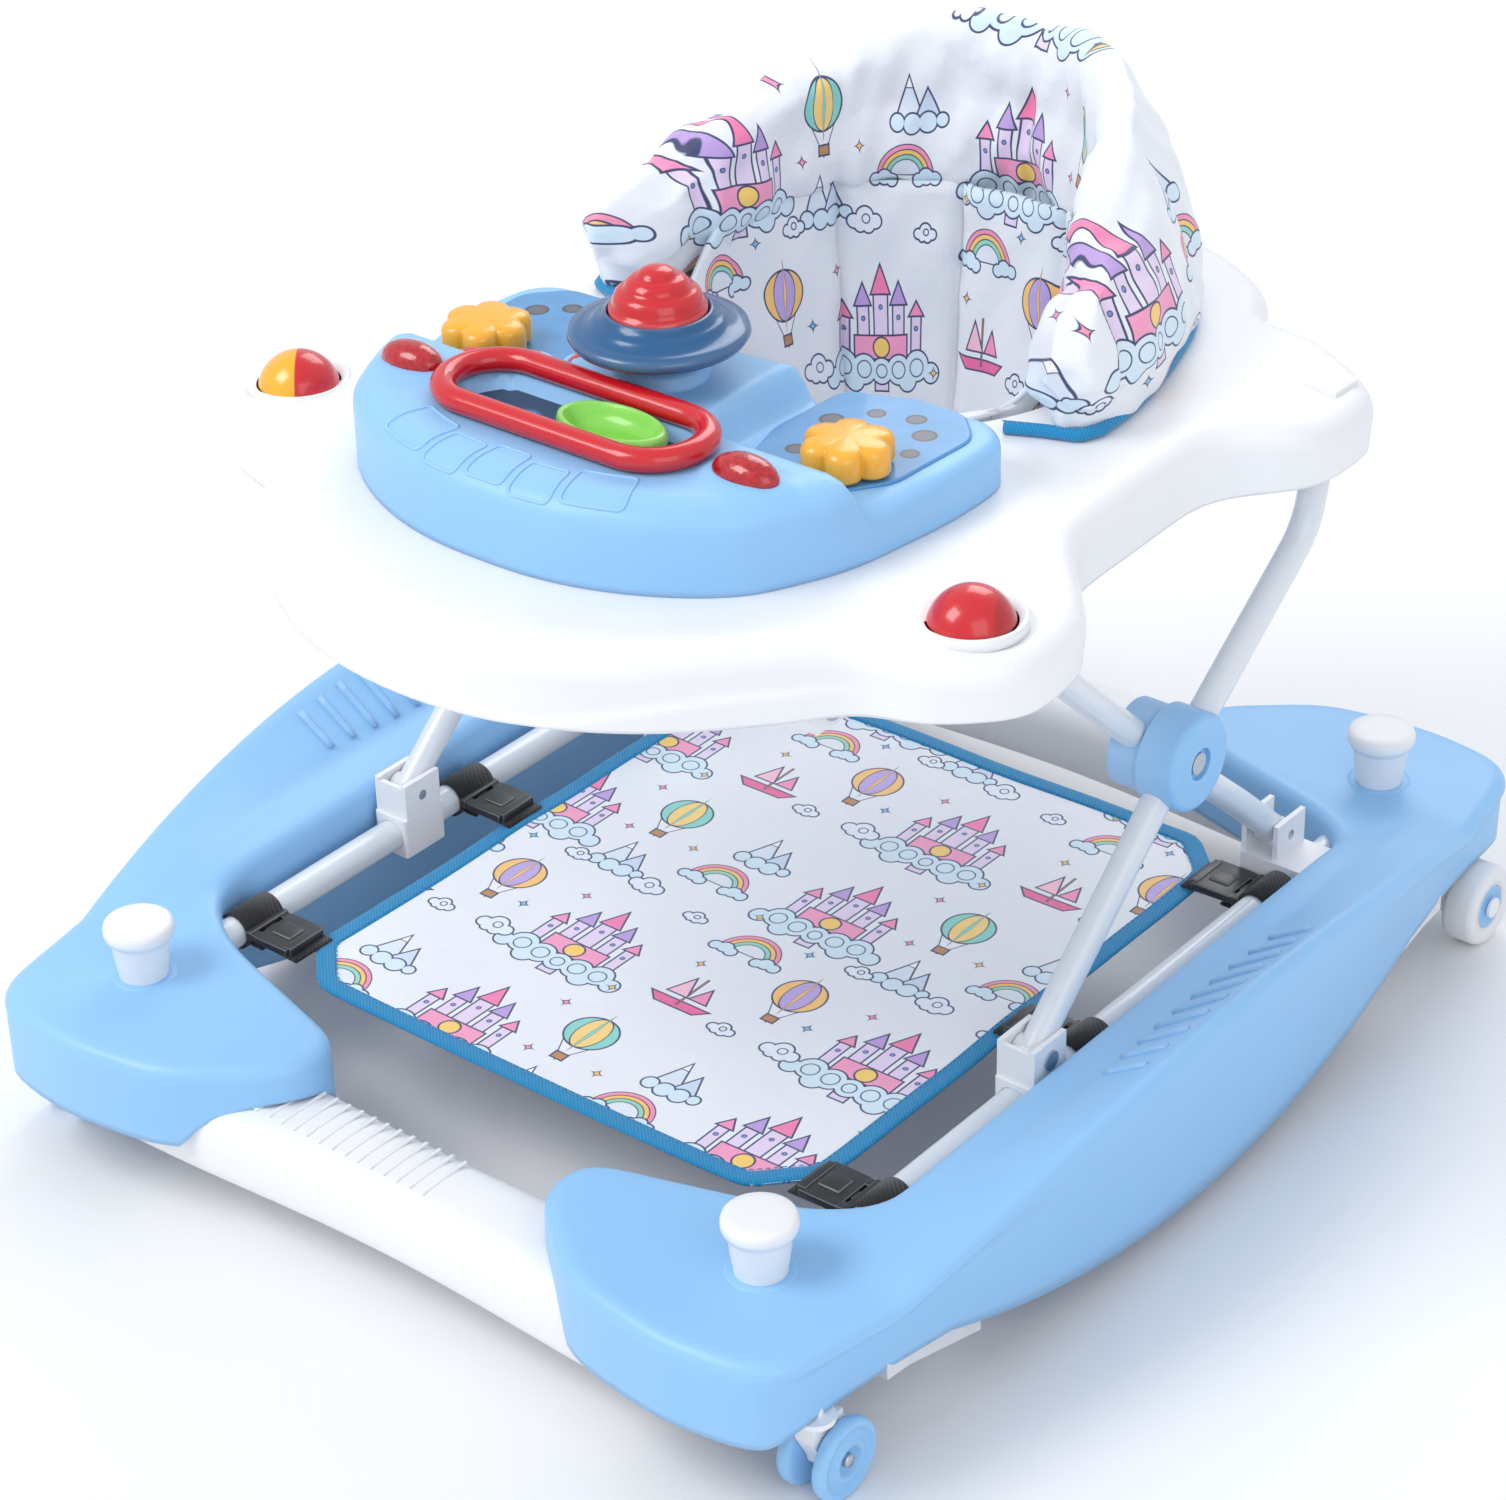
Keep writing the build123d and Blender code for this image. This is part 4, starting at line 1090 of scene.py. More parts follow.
# ---------------------------------------------------------------- mat
def mat_outline(inset):
    x, low, high, cut = 176 - inset, -215 + inset, 193 - inset, 26
    corners = [(0, low), (x - cut, low), (x, low + cut), (x, high - cut), (x - cut, high), (0, high)]
    return evenly(mirrored_loop(rounded(corners, [14] * 4), 0), 6)


def mat_height(x, y):
    """The mat hangs a little between its straps."""
    sag = 2.6 * np.cos(np.pi * x / 352) * (0.55 + 0.45 * np.cos(np.pi * (y + 11) / 408))
    pull = sum(np.exp(-((y - spot) / 26) ** 2) for spot in (-195, -22, 155)) * ease(110, 176,
        np.abs(x)) * 1.4
    return 79.6 - sag + pull + 0.5 * np.sin(x * 0.05 + y * 0.021) * np.cos(y * 0.037)


def cloth_map(thing, place):
    """Write the cloth's own coordinates, in metres, from rest positions."""
    layer = thing.data.uv_layers.get("cloth") or thing.data.uv_layers.new(name="cloth")
    co = np.empty(len(thing.data.vertices) * 3)
    thing.data.vertices.foreach_get("co", co)
    corner = np.empty(len(thing.data.loops), int)
    thing.data.loops.foreach_get("vertex_index", corner)
    layer.data.foreach_set("uv", place(co.reshape(-1, 3))[corner].ravel())


def build_mat(walker):
    loop = mat_outline(0.6)
    grid = np.array([(x, y) for x in np.arange(-172, 173, 8.0) for y in np.arange(-211, 190, 8.0)])
    grid = grid[within(grid, loop)]
    grid = grid[edge_distance(grid, [loop]) > 5]
    flat = np.vstack([loop, grid])
    edges = [(i, (i + 1) % len(loop)) for i in range(len(loop))]
    points, _, faces, _, _, _ = delaunay_2d_cdt([Vector(p) for p in flat.tolist()], edges, [], 1, 1e-5)
    plan = np.array([tuple(p) for p in points])
    mat = piece("mat_cloth", np.c_[plan, mat_height(plan[:, 0], plan[:, 1])], faces, "printed_fabric", None)
    orient_up(mat)
    thick = mat.modifiers.new("cloth", "SOLIDIFY")
    thick.thickness, thick.offset = 0.0012, -1
    bake(mat)
    fix_normals(mat)
    cloth_map(mat, lambda co: co[:, :2] + np.array([0.012, 0.135]))
    settle(mat, "printed_fabric", "base", ["floor_mat"])
    line = mat_outline(4.6)
    line3 = np.c_[line, mat_height(line[:, 0], line[:, 1]) - 0.5]
    flat_section = [(-5.4, 0), (-5.0, 1.0), (-3, 1.35), (3, 1.35), (5.2, 1.2), (5.9, 0), (5.2, -1.2), (3,
        -1.35), (-3, -1.35), (-5.0, -1.0)]
    binding = swept("mat_binding", line3, flat_section, "binding", "base")
    stitch = seed_box("stitch_seed", (2.4, 0.55, 0.4), 0.15)
    seam = mat_outline(8.6)
    seam3 = np.c_[seam, mat_height(seam[:, 0], seam[:, 1]) + 0.95]
    repeated("mat_stitches", np.vstack([seam3, seam3[:1]]), stitch, walker.sizes.stitch, "binding", "base",
        True)
    for name, side in SIDES:
        for index, y in enumerate((-195, -22, 155)):
            path = [(side * x, y, z) for x, z in ((170, 82.2), (178, 82.6), (196, 83.4), (208, 84))]
            turn = np.linspace(math.radians(168), math.radians(-168), 26)
            path += [(side * (217 + 10.2 * math.cos(a)), y, 84 + 10.2 * math.sin(a)) for a in turn]
            path += [(side * x, y, z) for x, z in ((204, 80.2), (196, 80.4))]
            line = evenly(path, 2.5, closed=False)
            strap = ribbon(f"{name}_strap_{index + 1}", line, 14, 0.75, "webbing", "base")
            if index == 0 and side == -1:
                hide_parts("mat_straps")
            blocks = [((side * 189, y, 85.2), (24, 30, 4.6)), ((side * 177.5, y, 85.0), (5, 26, 6.4)),
                      ((side * 200, y + 11.5, 85.2), (14, 6, 4.4)), ((side * 200, y - 11.5, 85.2), (14, 6,
                          4.4)),
                      ((side * 205.5, y, 85.4), (4, 30, 5.6)), ((side * 199, y, 84.8), (12, 7, 3.2)),
                      ((side * 189, y, 88), (13, 12, 1.4))]
            buckle = boxes(f"{name}_buckle_{index + 1}", blocks, "black_plastic", "base", 1.0)
            if index == 0 and side == -1:
                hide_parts("strap_buckles")


def ribbon(name, line, half, thick, paint, body):
    """A flat strap of the given half width, its width along Y."""
    points, faces = [], []
    section = [(-half, -thick), (half, -thick), (half + 0.4, 0), (half, thick), (-half, thick),
        (-half - 0.4, 0)]
    count, around = len(line), len(section)
    for i in range(count):
        along = Vector(line[min(i + 1, count - 1)] - line[max(i - 1, 0)]).normalized()
        over = along.cross(Vector((0, 1, 0))).normalized()
        for a, b in section:
            points.append(tuple(Vector(line[i]) + Vector((0, 1, 0)) * a + over * b))
    for i in range(count - 1):
        for j in range(around):
            m = (j + 1) % around
            faces.append([i * around + j, i * around + m, (i + 1) * around + m, (i + 1) * around + j])
    faces += [list(range(around)), list(range((count - 1) * around, count * around))]
    return settle(fix_normals(piece(name, points, faces, paint, None)), paint, body)


# ---------------------------------------------------------------- folding frame
def build_frame(walker):
    for node, paint in (
        ("left_inner_leg", "painted_tube"), ("right_inner_leg", "painted_tube"), ("left_outer_leg",
            "painted_tube"),
        ("right_outer_leg", "painted_tube"), ("inner_cross_tube", "painted_tube"), ("rear_brackets",
            "white_plastic"),
        ("sliding_brackets", "white_plastic"), ("rear_pivot_pins", "steel"), ("front_pivot_pins", "steel"),
        ("hub_caps", "blue_plastic"), ("hub_clamps", "blue_plastic"), ("hub_pins", "steel"),
        ("tray_pivots", "white_plastic"), ("height_racks", "white_plastic"),
    ):
        dress(node, paint)


# ---------------------------------------------------------------- tray and toys
def tray_loop():
    half = arc((0, -285), (82, -268), (150, -218), 40)
    corners = [(150, -218), (188, -176), (226, -168), (262, -136), (256, -80), (208, -28), (203, 102), (244,
        140),
               (244, 206), (190, 232), (146, 236)]
    half += rounded(corners, [16, 26, 30, 34, 40, 40, 36, 30, 40])[1:]
    half += arc((138, 262), (84, 297), (0, 308), 30)
    return soften(evenly(mirrored_loop(half, 0), 4.5), 10)


def circle(x, y, radius, step=5):
    count = round(2 * math.pi * radius / step)
    return np.array([(x + radius * math.cos(2 * math.pi * i / count),
        y + radius * math.sin(2 * math.pi * i / count)) for i in range(count)])


def build_tray(walker):
    radius = walker.sizes.shoulder / MM

    def top(x, y, gap):
        wings = ease(165, 262, np.abs(x)) * (ease(-20, -90, y) + ease(120, 160, y))
        front = ease(-215, -285, y)
        height = 388 - 8 * wings - 3 * front
        cup = np.hypot(np.abs(x) - 218, y + 123)
        height = height - 2.5 * (1 - ease(23, 31, cup))
        hole = np.hypot(x - SEAT[0], y - SEAT[1]) - 122
        height = height - shoulder(np.where(hole < 20, 99, gap), radius, radius + 1)
        return height - shoulder(np.where(hole < 20, np.maximum(hole, 0), 99), 5)

    def low(x, y):
        hole = np.hypot(x - SEAT[0], y - SEAT[1]) < 126
        wings = ease(165, 250, np.abs(x))
        return np.where(hole, 366.0, 345 + 4 * wings)

    def lean(loop, z, above):
        hole = np.hypot(loop[:, 0], loop[:, 1] - SEAT[1]) < 126
        normal = outward(loop)
        drop = np.clip(above - z, 0, 60)
        across = np.abs(loop[:, 0])
        lip = ease(11, 14, drop - 12 * ease(150, 60, across)) * ease(200, 165, across) * ease(-150, -190,
            loop[:, 1])
        flare = np.where(hole, 0, 0.07 * drop - 2.6 * lip)
        return loop - normal * flare[:, None]

    moulding("tray_moulding", [tray_loop(), circle(*SEAT, 122)], top, low, "white_plastic", "tray",
        ["tray_shell"],
             wall=3.0, grid=8, bands=(0.5, 1.5, 3, 5, 8, 11, 14), levels=14, lean=lean)
    for name, side in SIDES:
        sphere = [(22 * math.sin(a), -22 * math.cos(a)) for a in np.linspace(0, math.pi, 33)]
        turned(f"{name}_ball_shell", (side * 218, -123, 378), sphere, f"{name}_ball", f"{name}_ball",
            [f"{name}_ball"])
        cup = [(22.3, 383), (25.5, 386.2), (27.2, 385.4), (27.2, 380), (22.3, 378)]
        turned(f"{name}_ball_cup", (side * 218, -123, 0), cup + [cup[0]], "white_plastic", "tray")
    dress("sound_box", "white_plastic")


def toy_loop():
    half = arc((0, -222), (76, -209), (128, -174), 30)
    half += rounded([(128, -174), (150, -128), (159, -60), (158, -8), (132, 6)], [60, 90, 16])[1:]
    half += arc((132, 6), (70, -27), (0, -38), 24)[1:]
    return soften(evenly(mirrored_loop(half, 0), 4), 14)


def slot_gap(x, y, across, high, cx=0.0, cy=-150.0):
    """Signed distance to a long slot."""
    half = (across - high) / 2
    return np.hypot(np.maximum(np.abs(x - cx) - half, 0), y - cy) - high / 2


def build_toys(walker):
    ridge, deck = walker.sizes.ridge / MM, walker.sizes.deck / MM

    def top(x, y, gap):
        edge = np.maximum(np.abs(np.abs(x) - 112) - 62, np.abs(y + 52) - 66)
        low = 1 - ease(-7, 5, edge)
        height = ridge - (ridge - deck) * low
        height = height - 6.5 * (1 - ease(-3, 2, slot_gap(x, y, 140, 40)))
        lensed = np.hypot((np.abs(x) - 106.5) / 24, (y + 150) / 15)
        height = height + 2.5 * (1 - ease(0.8, 1.25, lensed))
        front = ease(-60, -120, y)
        return height - shoulder(gap, 20, 14) * front - shoulder(gap, 9, 8) * (1 - front)

    moulding("toy_deck", [toy_loop()], top, lambda x, y: 388.3 + 0 * x, "blue_plastic", "tray", ["toy_tray"],
             wall=2.6, grid=4.5, bands=(0.5, 1.5, 3, 5, 8, 12, 16), levels=8)
    loop = toy_loop()
    front = loop[(loop[:, 1] < -150)]
    front = front[np.argsort(front[:, 0])]
    normal = np.stack([front[:, 0] / 190, -np.ones(len(front))], axis=1)
    normal /= np.linalg.norm(normal, axis=1, keepdims=True)

    def on_shoulder(x, gap):
        y = np.interp(x, front[:, 0], front[:, 1])
        nx, ny = (np.interp(x, front[:, 0], normal[:, i]) for i in range(2))
        x, y = x - nx * gap, y - ny * gap
        spot = [np.array([v]) for v in (x, y, gap)]
        return x, y, float(top(*spot)[0]) + 0.1

    for number, (left, right, near, far) in enumerate(((-78, -46, 5, 30), (-41, -17, 3, 26), (-12, 12, 5,
            30), (17, 41, 3, 26), (46, 78, 5, 30))):
        corners = [(left + 4, near), (right, near), (right, far), (left, far), (left, near), (left + 4,
            near)]
        path = evenly(rounded(corners, [3, 3, 3, 3])[:-1], 1.5)
        line = [on_shoulder(x, gap) for x, gap in path]
        swept(f"toy_emboss_{number + 1}", line, ring_section(0.9, 0.8, 8), "blue_plastic", "tray")
    boss = [(0, 434), (26, 434), (25, 436), (24, 440), (23, 442), (0, 442)]
    turned("wheel_boss", (0, -85, 0), boss, "blue_plastic", "tray")
    wheel = [(8, 443), (18, 443), (19, 446), (20, 450.6), (24, 452.4), (38, 452.6), (43.6, 453.4), (45.5,
        456.5),
             (44.6, 459.6), (40, 460.4), (36, 460.8), (33.4, 463.8), (31.5, 465.4), (28.4, 466), (27.6,
                 468.6),
             (26.4, 469.6), (25.6, 469), (25.6, 458), (8, 458)]
    turned("steering_wheel_shell", (0, -85, 0), wheel + [wheel[0]], "wheel_blue", "steering_wheel",
        ["steering_wheel"], segments=96)
    horn = [(0, 491), (4, 490.8), (7.4, 489.8), (9.2, 488.0), (9.8, 486.6), (11.8, 486.4), (14.6, 484.6),
        (16.2, 482),
            (16.8, 480.4), (19, 480), (21.4, 477.6), (22.6, 474), (23.0, 471.2), (24.5, 470.8), (24.5,
                461.2), (4, 461.2), (4, 443), (0, 443)]
    turned("horn_dome", (0, -85, 0), horn, "red_plastic", "horn_button", ["horn_button"], segments=96)
    for name, side in SIDES:
        flower = [(0, 434), (6, 433.9), (13, 433.6), (17.5, 433), (20, 431.4), (21, 428.6), (21, 419.5),
            (20.2, 418), (0, 418)]
        turned(f"{name}_flower_shell", (side * 116.5, -85, 0), flower, "yellow_plastic", f"{name}_flower",
            [f"{name}_flower"], petals, segments=144)
        oval = lambda a: 1 / math.hypot(math.cos(a) / 19, math.sin(a) / 11) / 19
        dome = [(0, 446), (5, 445.8), (10, 444.8), (14, 443), (17, 440.4), (18.6, 437.6), (19, 434), (0,
            434)]
        turned(f"{name}_lens", (side * 106.5, -150, 0), dome, "red_lens", "tray",
            ["light_lenses"] if side == 1 else [], oval, segments=96)
    for index, (x, y) in enumerate(((-96, -118), (-70, -104), (-46, -88))):
        button = [(0, 432.8), (3, 432.8), (6, 432), (8, 430.2), (9, 427.5), (9, 418.1), (0, 418.1)]
        turned(f"tune_button_{index + 1}_cap", (x, y, 0), button, "red_plastic", f"tune_button_{index + 1}",
            [f"tune_button_{index + 1}"])
        collar = [(9.4, 416), (13, 416), (13, 427), (12.2, 428.4), (10.4, 428.4), (9.4, 427)]
        turned(f"tune_collar_{index + 1}", (x, y, 0), collar + [collar[0]], "blue_plastic", "tray")
    half, radius = 50, 26.5
    line = [(half + radius * math.cos(a), -150 + radius * math.sin(a),
        440) for a in np.linspace(-math.pi / 2, math.pi / 2, 25)]
    line += [(-x, -300 - y, z) for x, y, z in line]
    swept("play_ring_tube", evenly(line, 4), ring_section(6.6, 6.2, 20), "red_plastic", "tray",
        stands_for=["play_ring"])
    label = [(0, 428), (1, 428), (1, 427.2), (0, 427.2)]
    slot_radius = lambda a: slot_reach(a, 70, 20)
    turned("ring_label_plate", (0, -150, 0), label, "ring_label", "tray", radius=slot_radius, segments=120)
    oval = lambda a: 1 / math.hypot(math.cos(a) / 32, math.sin(a) / 18) / 32
    dish = [(0, 431), (14, 431), (21, 432.5), (25, 436), (27, 439.6), (29, 440.6), (31, 439.6), (32, 437),
        (31.6, 433), (29, 428.4), (0, 428.4)]
    turned("dish_shell", (24, -150, 0), dish, "green_plastic", "slider_dish", ["slider_dish"], oval,
        segments=96)
    for name, side in SIDES:
        corners = [(100, -4), (62, -18), (60, -70), (72, -112), (124, -114), (144, -84), (147, -24), (128,
            -5), (100, -4)]
        half = evenly(rounded(corners[:-1] + [corners[0]], [12, 40, 12, 16, 30, 18, 12]), 3)
        plate(f"{name}_flower_panel", half * np.array([side, 1]), 415.0, 416.4, "panel_blue", "tray",
              ["flower_panels"] if side == 1 else [])


def petals(angle):
    """Outline of six round petals, as a share of 21 mm."""
    off = (angle + math.pi / 6) % (math.pi / 3) - math.pi / 6
    under = 9.5**2 - (15 * math.sin(off)) ** 2
    reach = 15 * math.cos(off) + math.sqrt(under) if under > 0 else 0
    return max(reach, 17.5) / 24.5 * 1.14


def plate(name, loop, low, high, paint, body, stands_for=()):
    """A flat plate with a small rounded edge."""
    loop = np.array(loop, float)
    inner = loop - outward(loop) * 1.0
    count, points = len(loop), []
    for ring, z in ((loop, low), (loop, high - 0.7), (inner, high)):
        points += [(x, y, z) for x, y in ring]
    faces = [[k * count + i, k * count + (i + 1) % count, (k + 1) * count + (i + 1) % count,
        (k + 1) * count + i]
             for k in range(2) for i in range(count)]
    faces += [list(range(count)), list(range(2 * count, 3 * count))]
    thing = fix_normals(piece(name, points, faces, paint, None, smooth=False))
    return settle(thing, paint, body, stands_for, smooth=False)


def slot_reach(angle, half_x, half_y):
    """Distance from a slot's middle to its edge at an angle."""
    c, s = abs(math.cos(angle)), abs(math.sin(angle))
    flat = half_x - half_y
    if s > 1e-9 and half_y / s * c <= flat:
        return half_y / s
    b = flat * c
    return b + math.sqrt(max(b * b - flat * flat + half_y * half_y, 0))


# ---------------------------------------------------------------- seat
RIM = [(0.0, (0, 240, 517)), (0.2, (50, 225, 515)), (0.38, (85, 190, 508)), (0.52, (108, 150, 495)), (0.64,
    (122, 115, 480)),
       (0.76, (138, 85, 465)), (0.89, (150, 50, 445)), (1.0, (155, 30, 424))]
FLAP = [(0.0, (0, 264, 390)), (0.2, (62, 255, 390)), (0.38, (104, 232, 390)), (0.52, (130, 194, 390)),
    (0.64, (144, 158, 390)),
        (0.76, (154, 124, 390)), (0.89, (161, 90, 390)), (1.0, (163, 62, 390))]
INNER = [(0.0, (0, 220, 424)), (0.2, (42, 213, 424)), (0.38, (77, 189, 424)), (0.52, (98, 159, 422)), (0.64,
    (107, 133, 420)),
         (0.76, (113, 103, 418)), (0.89, (121, 66, 412)), (1.0, (128, 40, 404))]


def follow(table, s):
    """Smooth point of a table at a share s of the way from the rear to a front end."""
    at = np.array([row[0] for row in table])
    values = np.array([row[1] for row in table], float)
    s = np.abs(s)
    slopes = np.gradient(values, at, axis=0)
    slopes[0, 1:] = 0
    i = np.clip(np.searchsorted(at, s, side="right") - 1, 0, len(at) - 2)
    step = (at[i + 1] - at[i])[:, None]
    t = ((s - at[i]) / step[:, 0])[:, None]
    h00, h10 = 2 * t**3 - 3 * t**2 + 1, t**3 - 2 * t**2 + t
    return h00 * values[i] + h10 * step * slopes[i] + (1 - h00) * values[i + 1] + (t**3
        - t**2) * step * slopes[i + 1]


def head_band(walker):
    """The padded band as a closed mesh of cross-sections from one front end round to the other."""
    thick = walker.sizes.pad / MM
    stations = np.linspace(-1, 1, 121)
    rim, flap, inner = (follow(table, stations) for table in (RIM, FLAP, INNER))
    for line in (rim, flap, inner):
        line[:, 0] *= np.where(stations < 0, -1, 1)
    closing = np.sqrt(np.clip(1 - ease(0.93, 1.0, np.abs(stations)) ** 2 * 0.92, 0.02, 1))
    points, faces = [], []
    for k in range(len(stations)):
        r, f, i = rim[k], flap[k], inner[k]
        out = (f - i) * np.array([1, 1, 0])
        out /= np.linalg.norm(out)
        half = thick / 2
        keys = [f, f + out * 4 + [0, 0, 14], f * 0.62 + r * 0.38 + out * (9 + half * 0.4),
            f * 0.3 + r * 0.7 + out * (half + 3),
                r + out * half * 0.95 - [0, 0, 10], r + out * half * 0.62, r, r - out * half * 0.62,
                r - out * half * 0.9 - [0, 0, 10], i * 0.45 + r * 0.55 - out * 7,
                    i * 0.75 + r * 0.25 - out * 8, i - out * 3 + [0, 0, 3],
                i + out * 4 - [0, 0, 3], i * [1, 1, 0] + [0, 0, 400] + out * 6, i * [1, 1, 0] + [0, 0,
                    390.5] + out * 8]
        keys = np.array(keys)
        centre = np.array([*((r + f + i) / 3)[:2], 400.0])
        keys = centre + (keys - centre) * np.array([closing[k], closing[k],
            1]) if abs(stations[k]) > 0.93 else keys
        loop = evenly(list(keys), np.linalg.norm(np.diff(np.vstack([keys, keys[:1]]), axis=0),
            axis=1).sum() / 56)[:56]
        points += [tuple(p) for p in loop]
    around = 56
    for k in range(len(stations) - 1):
        for j in range(around):
            m = (j + 1) % around
            faces.append([k * around + j, k * around + m, (k + 1) * around + m, (k + 1) * around + j])
    faces += [list(range(around)), list(range((len(stations) - 1) * around, len(stations) * around))]
    return fix_normals(piece("seat_head_band", points, faces, "printed_fabric", None))


def inflate(thing, limit):
    """Swell a closed soft mesh with a short cloth run, each point moved no further than the limit."""
    scene = bpy.context.scene
    rest = np.empty(len(thing.data.vertices) * 3)
    thing.data.vertices.foreach_get("co", rest)
    modifier = thing.modifiers.new("cloth", "CLOTH")
    settings = modifier.settings
    settings.quality = 4
    settings.mass = 0.3
    settings.use_pressure = True
    settings.uniform_pressure_force = 4.0
    settings.effector_weights.gravity = 0.0
    settings.tension_stiffness = settings.compression_stiffness = 12
    settings.bending_stiffness = 0.6
    modifier.point_cache.frame_start, modifier.point_cache.frame_end = 1, 20
    for number in range(1, 21):
        scene.frame_set(number)
    graph = bpy.context.evaluated_depsgraph_get()
    swollen = np.empty(len(rest))
    thing.evaluated_get(graph).data.vertices.foreach_get("co", swollen)
    scene.frame_set(1)
    thing.modifiers.clear()
    move = (swollen - rest).reshape(-1, 3)
    size = np.linalg.norm(move, axis=1, keepdims=True)
    move *= np.minimum(1, limit / np.maximum(size, 1e-9))
    thing.data.vertices.foreach_set("co", (rest.reshape(-1, 3) + move).ravel())
    thing.data.update()


def around_seat(co):
    """Cloth coordinates that wrap round the seat."""
    turn = np.arctan2(co[:, 0], co[:, 1] - SEAT[1] * MM)
    return np.c_[turn * 0.13 + 0.046, co[:, 2] - 0.30]


def build_seat(walker):
    band = head_band(walker)
    inflate(band, walker.sizes.swell)
    co = np.empty(len(band.data.vertices) * 3)
    band.data.vertices.foreach_get("co", co)
    co = co.reshape(-1, 3) / MM
    normal = np.empty(len(band.data.vertices) * 3)
    band.data.vertices.foreach_get("normal", normal)
    normal = normal.reshape(-1, 3)
    turn = np.arctan2(co[:, 0], co[:, 1] - SEAT[1])
    pucker = 0
    for seam in (0.0, 0.95, -0.95, 1.75, -1.75):
        pucker = pucker + 5.0 * np.exp(-((turn - seam) / 0.03) ** 2) + 3.0 * np.exp(-((turn
            - seam) / 0.14) ** 2)
    folds = 1.9 * np.sin(turn * 23 + co[:, 2] * 0.05) * np.exp(-((co[:, 2] - 430) / 20) ** 2)
    folds = folds + 1.5 * np.sin(turn * 11 + 0.07 * co[:, 2] + 1.3 * np.sin(co[:, 2] * 0.05))
    folds = folds + 0.9 * np.sin(turn * 31 - 0.11 * co[:, 2] + 1.9 * np.sin(turn * 7))
    pucker = pucker * ease(398, 410, co[:, 2])
    co += normal * (folds - pucker * 0.8)[:, None]
    co[:, 2] = np.maximum(co[:, 2], 388.6)
    band.data.vertices.foreach_set("co", (co * MM).ravel())
    smooth = band.modifiers.new("smooth", "SUBSURF")
    smooth.levels = smooth.render_levels = 1
    bake(band)
    cloth_map(band, around_seat)
    settle(band, "printed_fabric", "tray", ["seat_pad"])

    stations = np.linspace(-0.985, 0.985, 200)
    flap = follow(FLAP, stations)
    flap[:, 0] *= np.where(stations < 0, -1, 1)
    ends = [[(s * 163, 62, 0), (s * 158, 50, 0), (s * 140, 44, 0), (s * 122, 36, 0)] for s in (-1, 1)]
    line = [p for p in reversed(ends[0])] + [tuple(p) for p in flap] + ends[1]
    line = np.array([(x, y, 391.6) for x, y, _ in line])
    line = evenly(line, 4, closed=False)
    swept("seat_piping", line, ring_section(3.6, 3.4, 12), "binding", "tray", closed=False)
    stitch = seed_box("stitch_seed_2", (2.4, 0.6, 0.5), 0.15)
    seam = line.copy()
    seam[:, 2] += 3.4
    repeated("seat_stitches", seam, stitch, walker.sizes.stitch, "binding", "tray", True)

    heights = [426, 418, 410, 402, 394, 386, 374, 360, 346, 330, 314, 298, 282, 266, 252, 240, 230, 221,
        214, 208, 204]
    radii = [113, 112.5, 112, 111.5, 111, 110, 108.5, 107, 105.5, 103.5, 101, 98, 94.5, 90, 85, 79, 72, 64,
        54, 40, 20]
    count = 220
    points, faces = [], []
    for z, radius in zip(heights, radii):
        for k in range(count):
            a = 2 * math.pi * k / count
            rear = float(ease(-0.2, 0.3, -math.cos(a + math.pi)))
            channel = abs(math.sin(a * 5.0 + math.pi / 2))
            puff = 9.0 * (1 - (1 - channel) ** 4) * rear * float(ease(250, 310, z)) - 3
            wrinkle = math.sin(9 * a + z * 0.09) + 0.9 * math.sin(17 * a - z * 0.05 + 2 * math.sin(z * 0.04))
            wrinkle += 0.8 * math.sin(z * 0.21 + 5 * a) * (1 - channel)
            r = radius - puff + wrinkle
            tall = z if z <= 386 else 386 + (z - 386) * float(ease(-0.45, 0.0, math.cos(a)))
            points.append((r * math.sin(a), SEAT[1] + r * math.cos(a), tall))
    for i in range(len(heights) - 1):
        for k in range(count):
            m = (k + 1) % count
            quad = [i * count + k, i * count + m, (i + 1) * count + m, (i + 1) * count + k]
            middle = np.mean([points[q] for q in quad], axis=0)
            if middle[1] < SEAT[1] and math.hypot(abs(middle[0]) - 52, middle[2] - 262) < 40:
                continue
            faces.append(quad)
    faces.append([(len(heights) - 1) * count + k for k in range(count)])
    sling = piece("seat_inner", points, faces, "printed_fabric", None)
    orient_up(sling)
    thick = sling.modifiers.new("cloth", "SOLIDIFY")
    thick.thickness, thick.offset = 0.0032, 0
    bake(sling)
    fix_normals(sling)
    cloth_map(sling, around_seat)
    settle(sling, "printed_fabric", "tray", ["seat_sling"])
    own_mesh(sling)


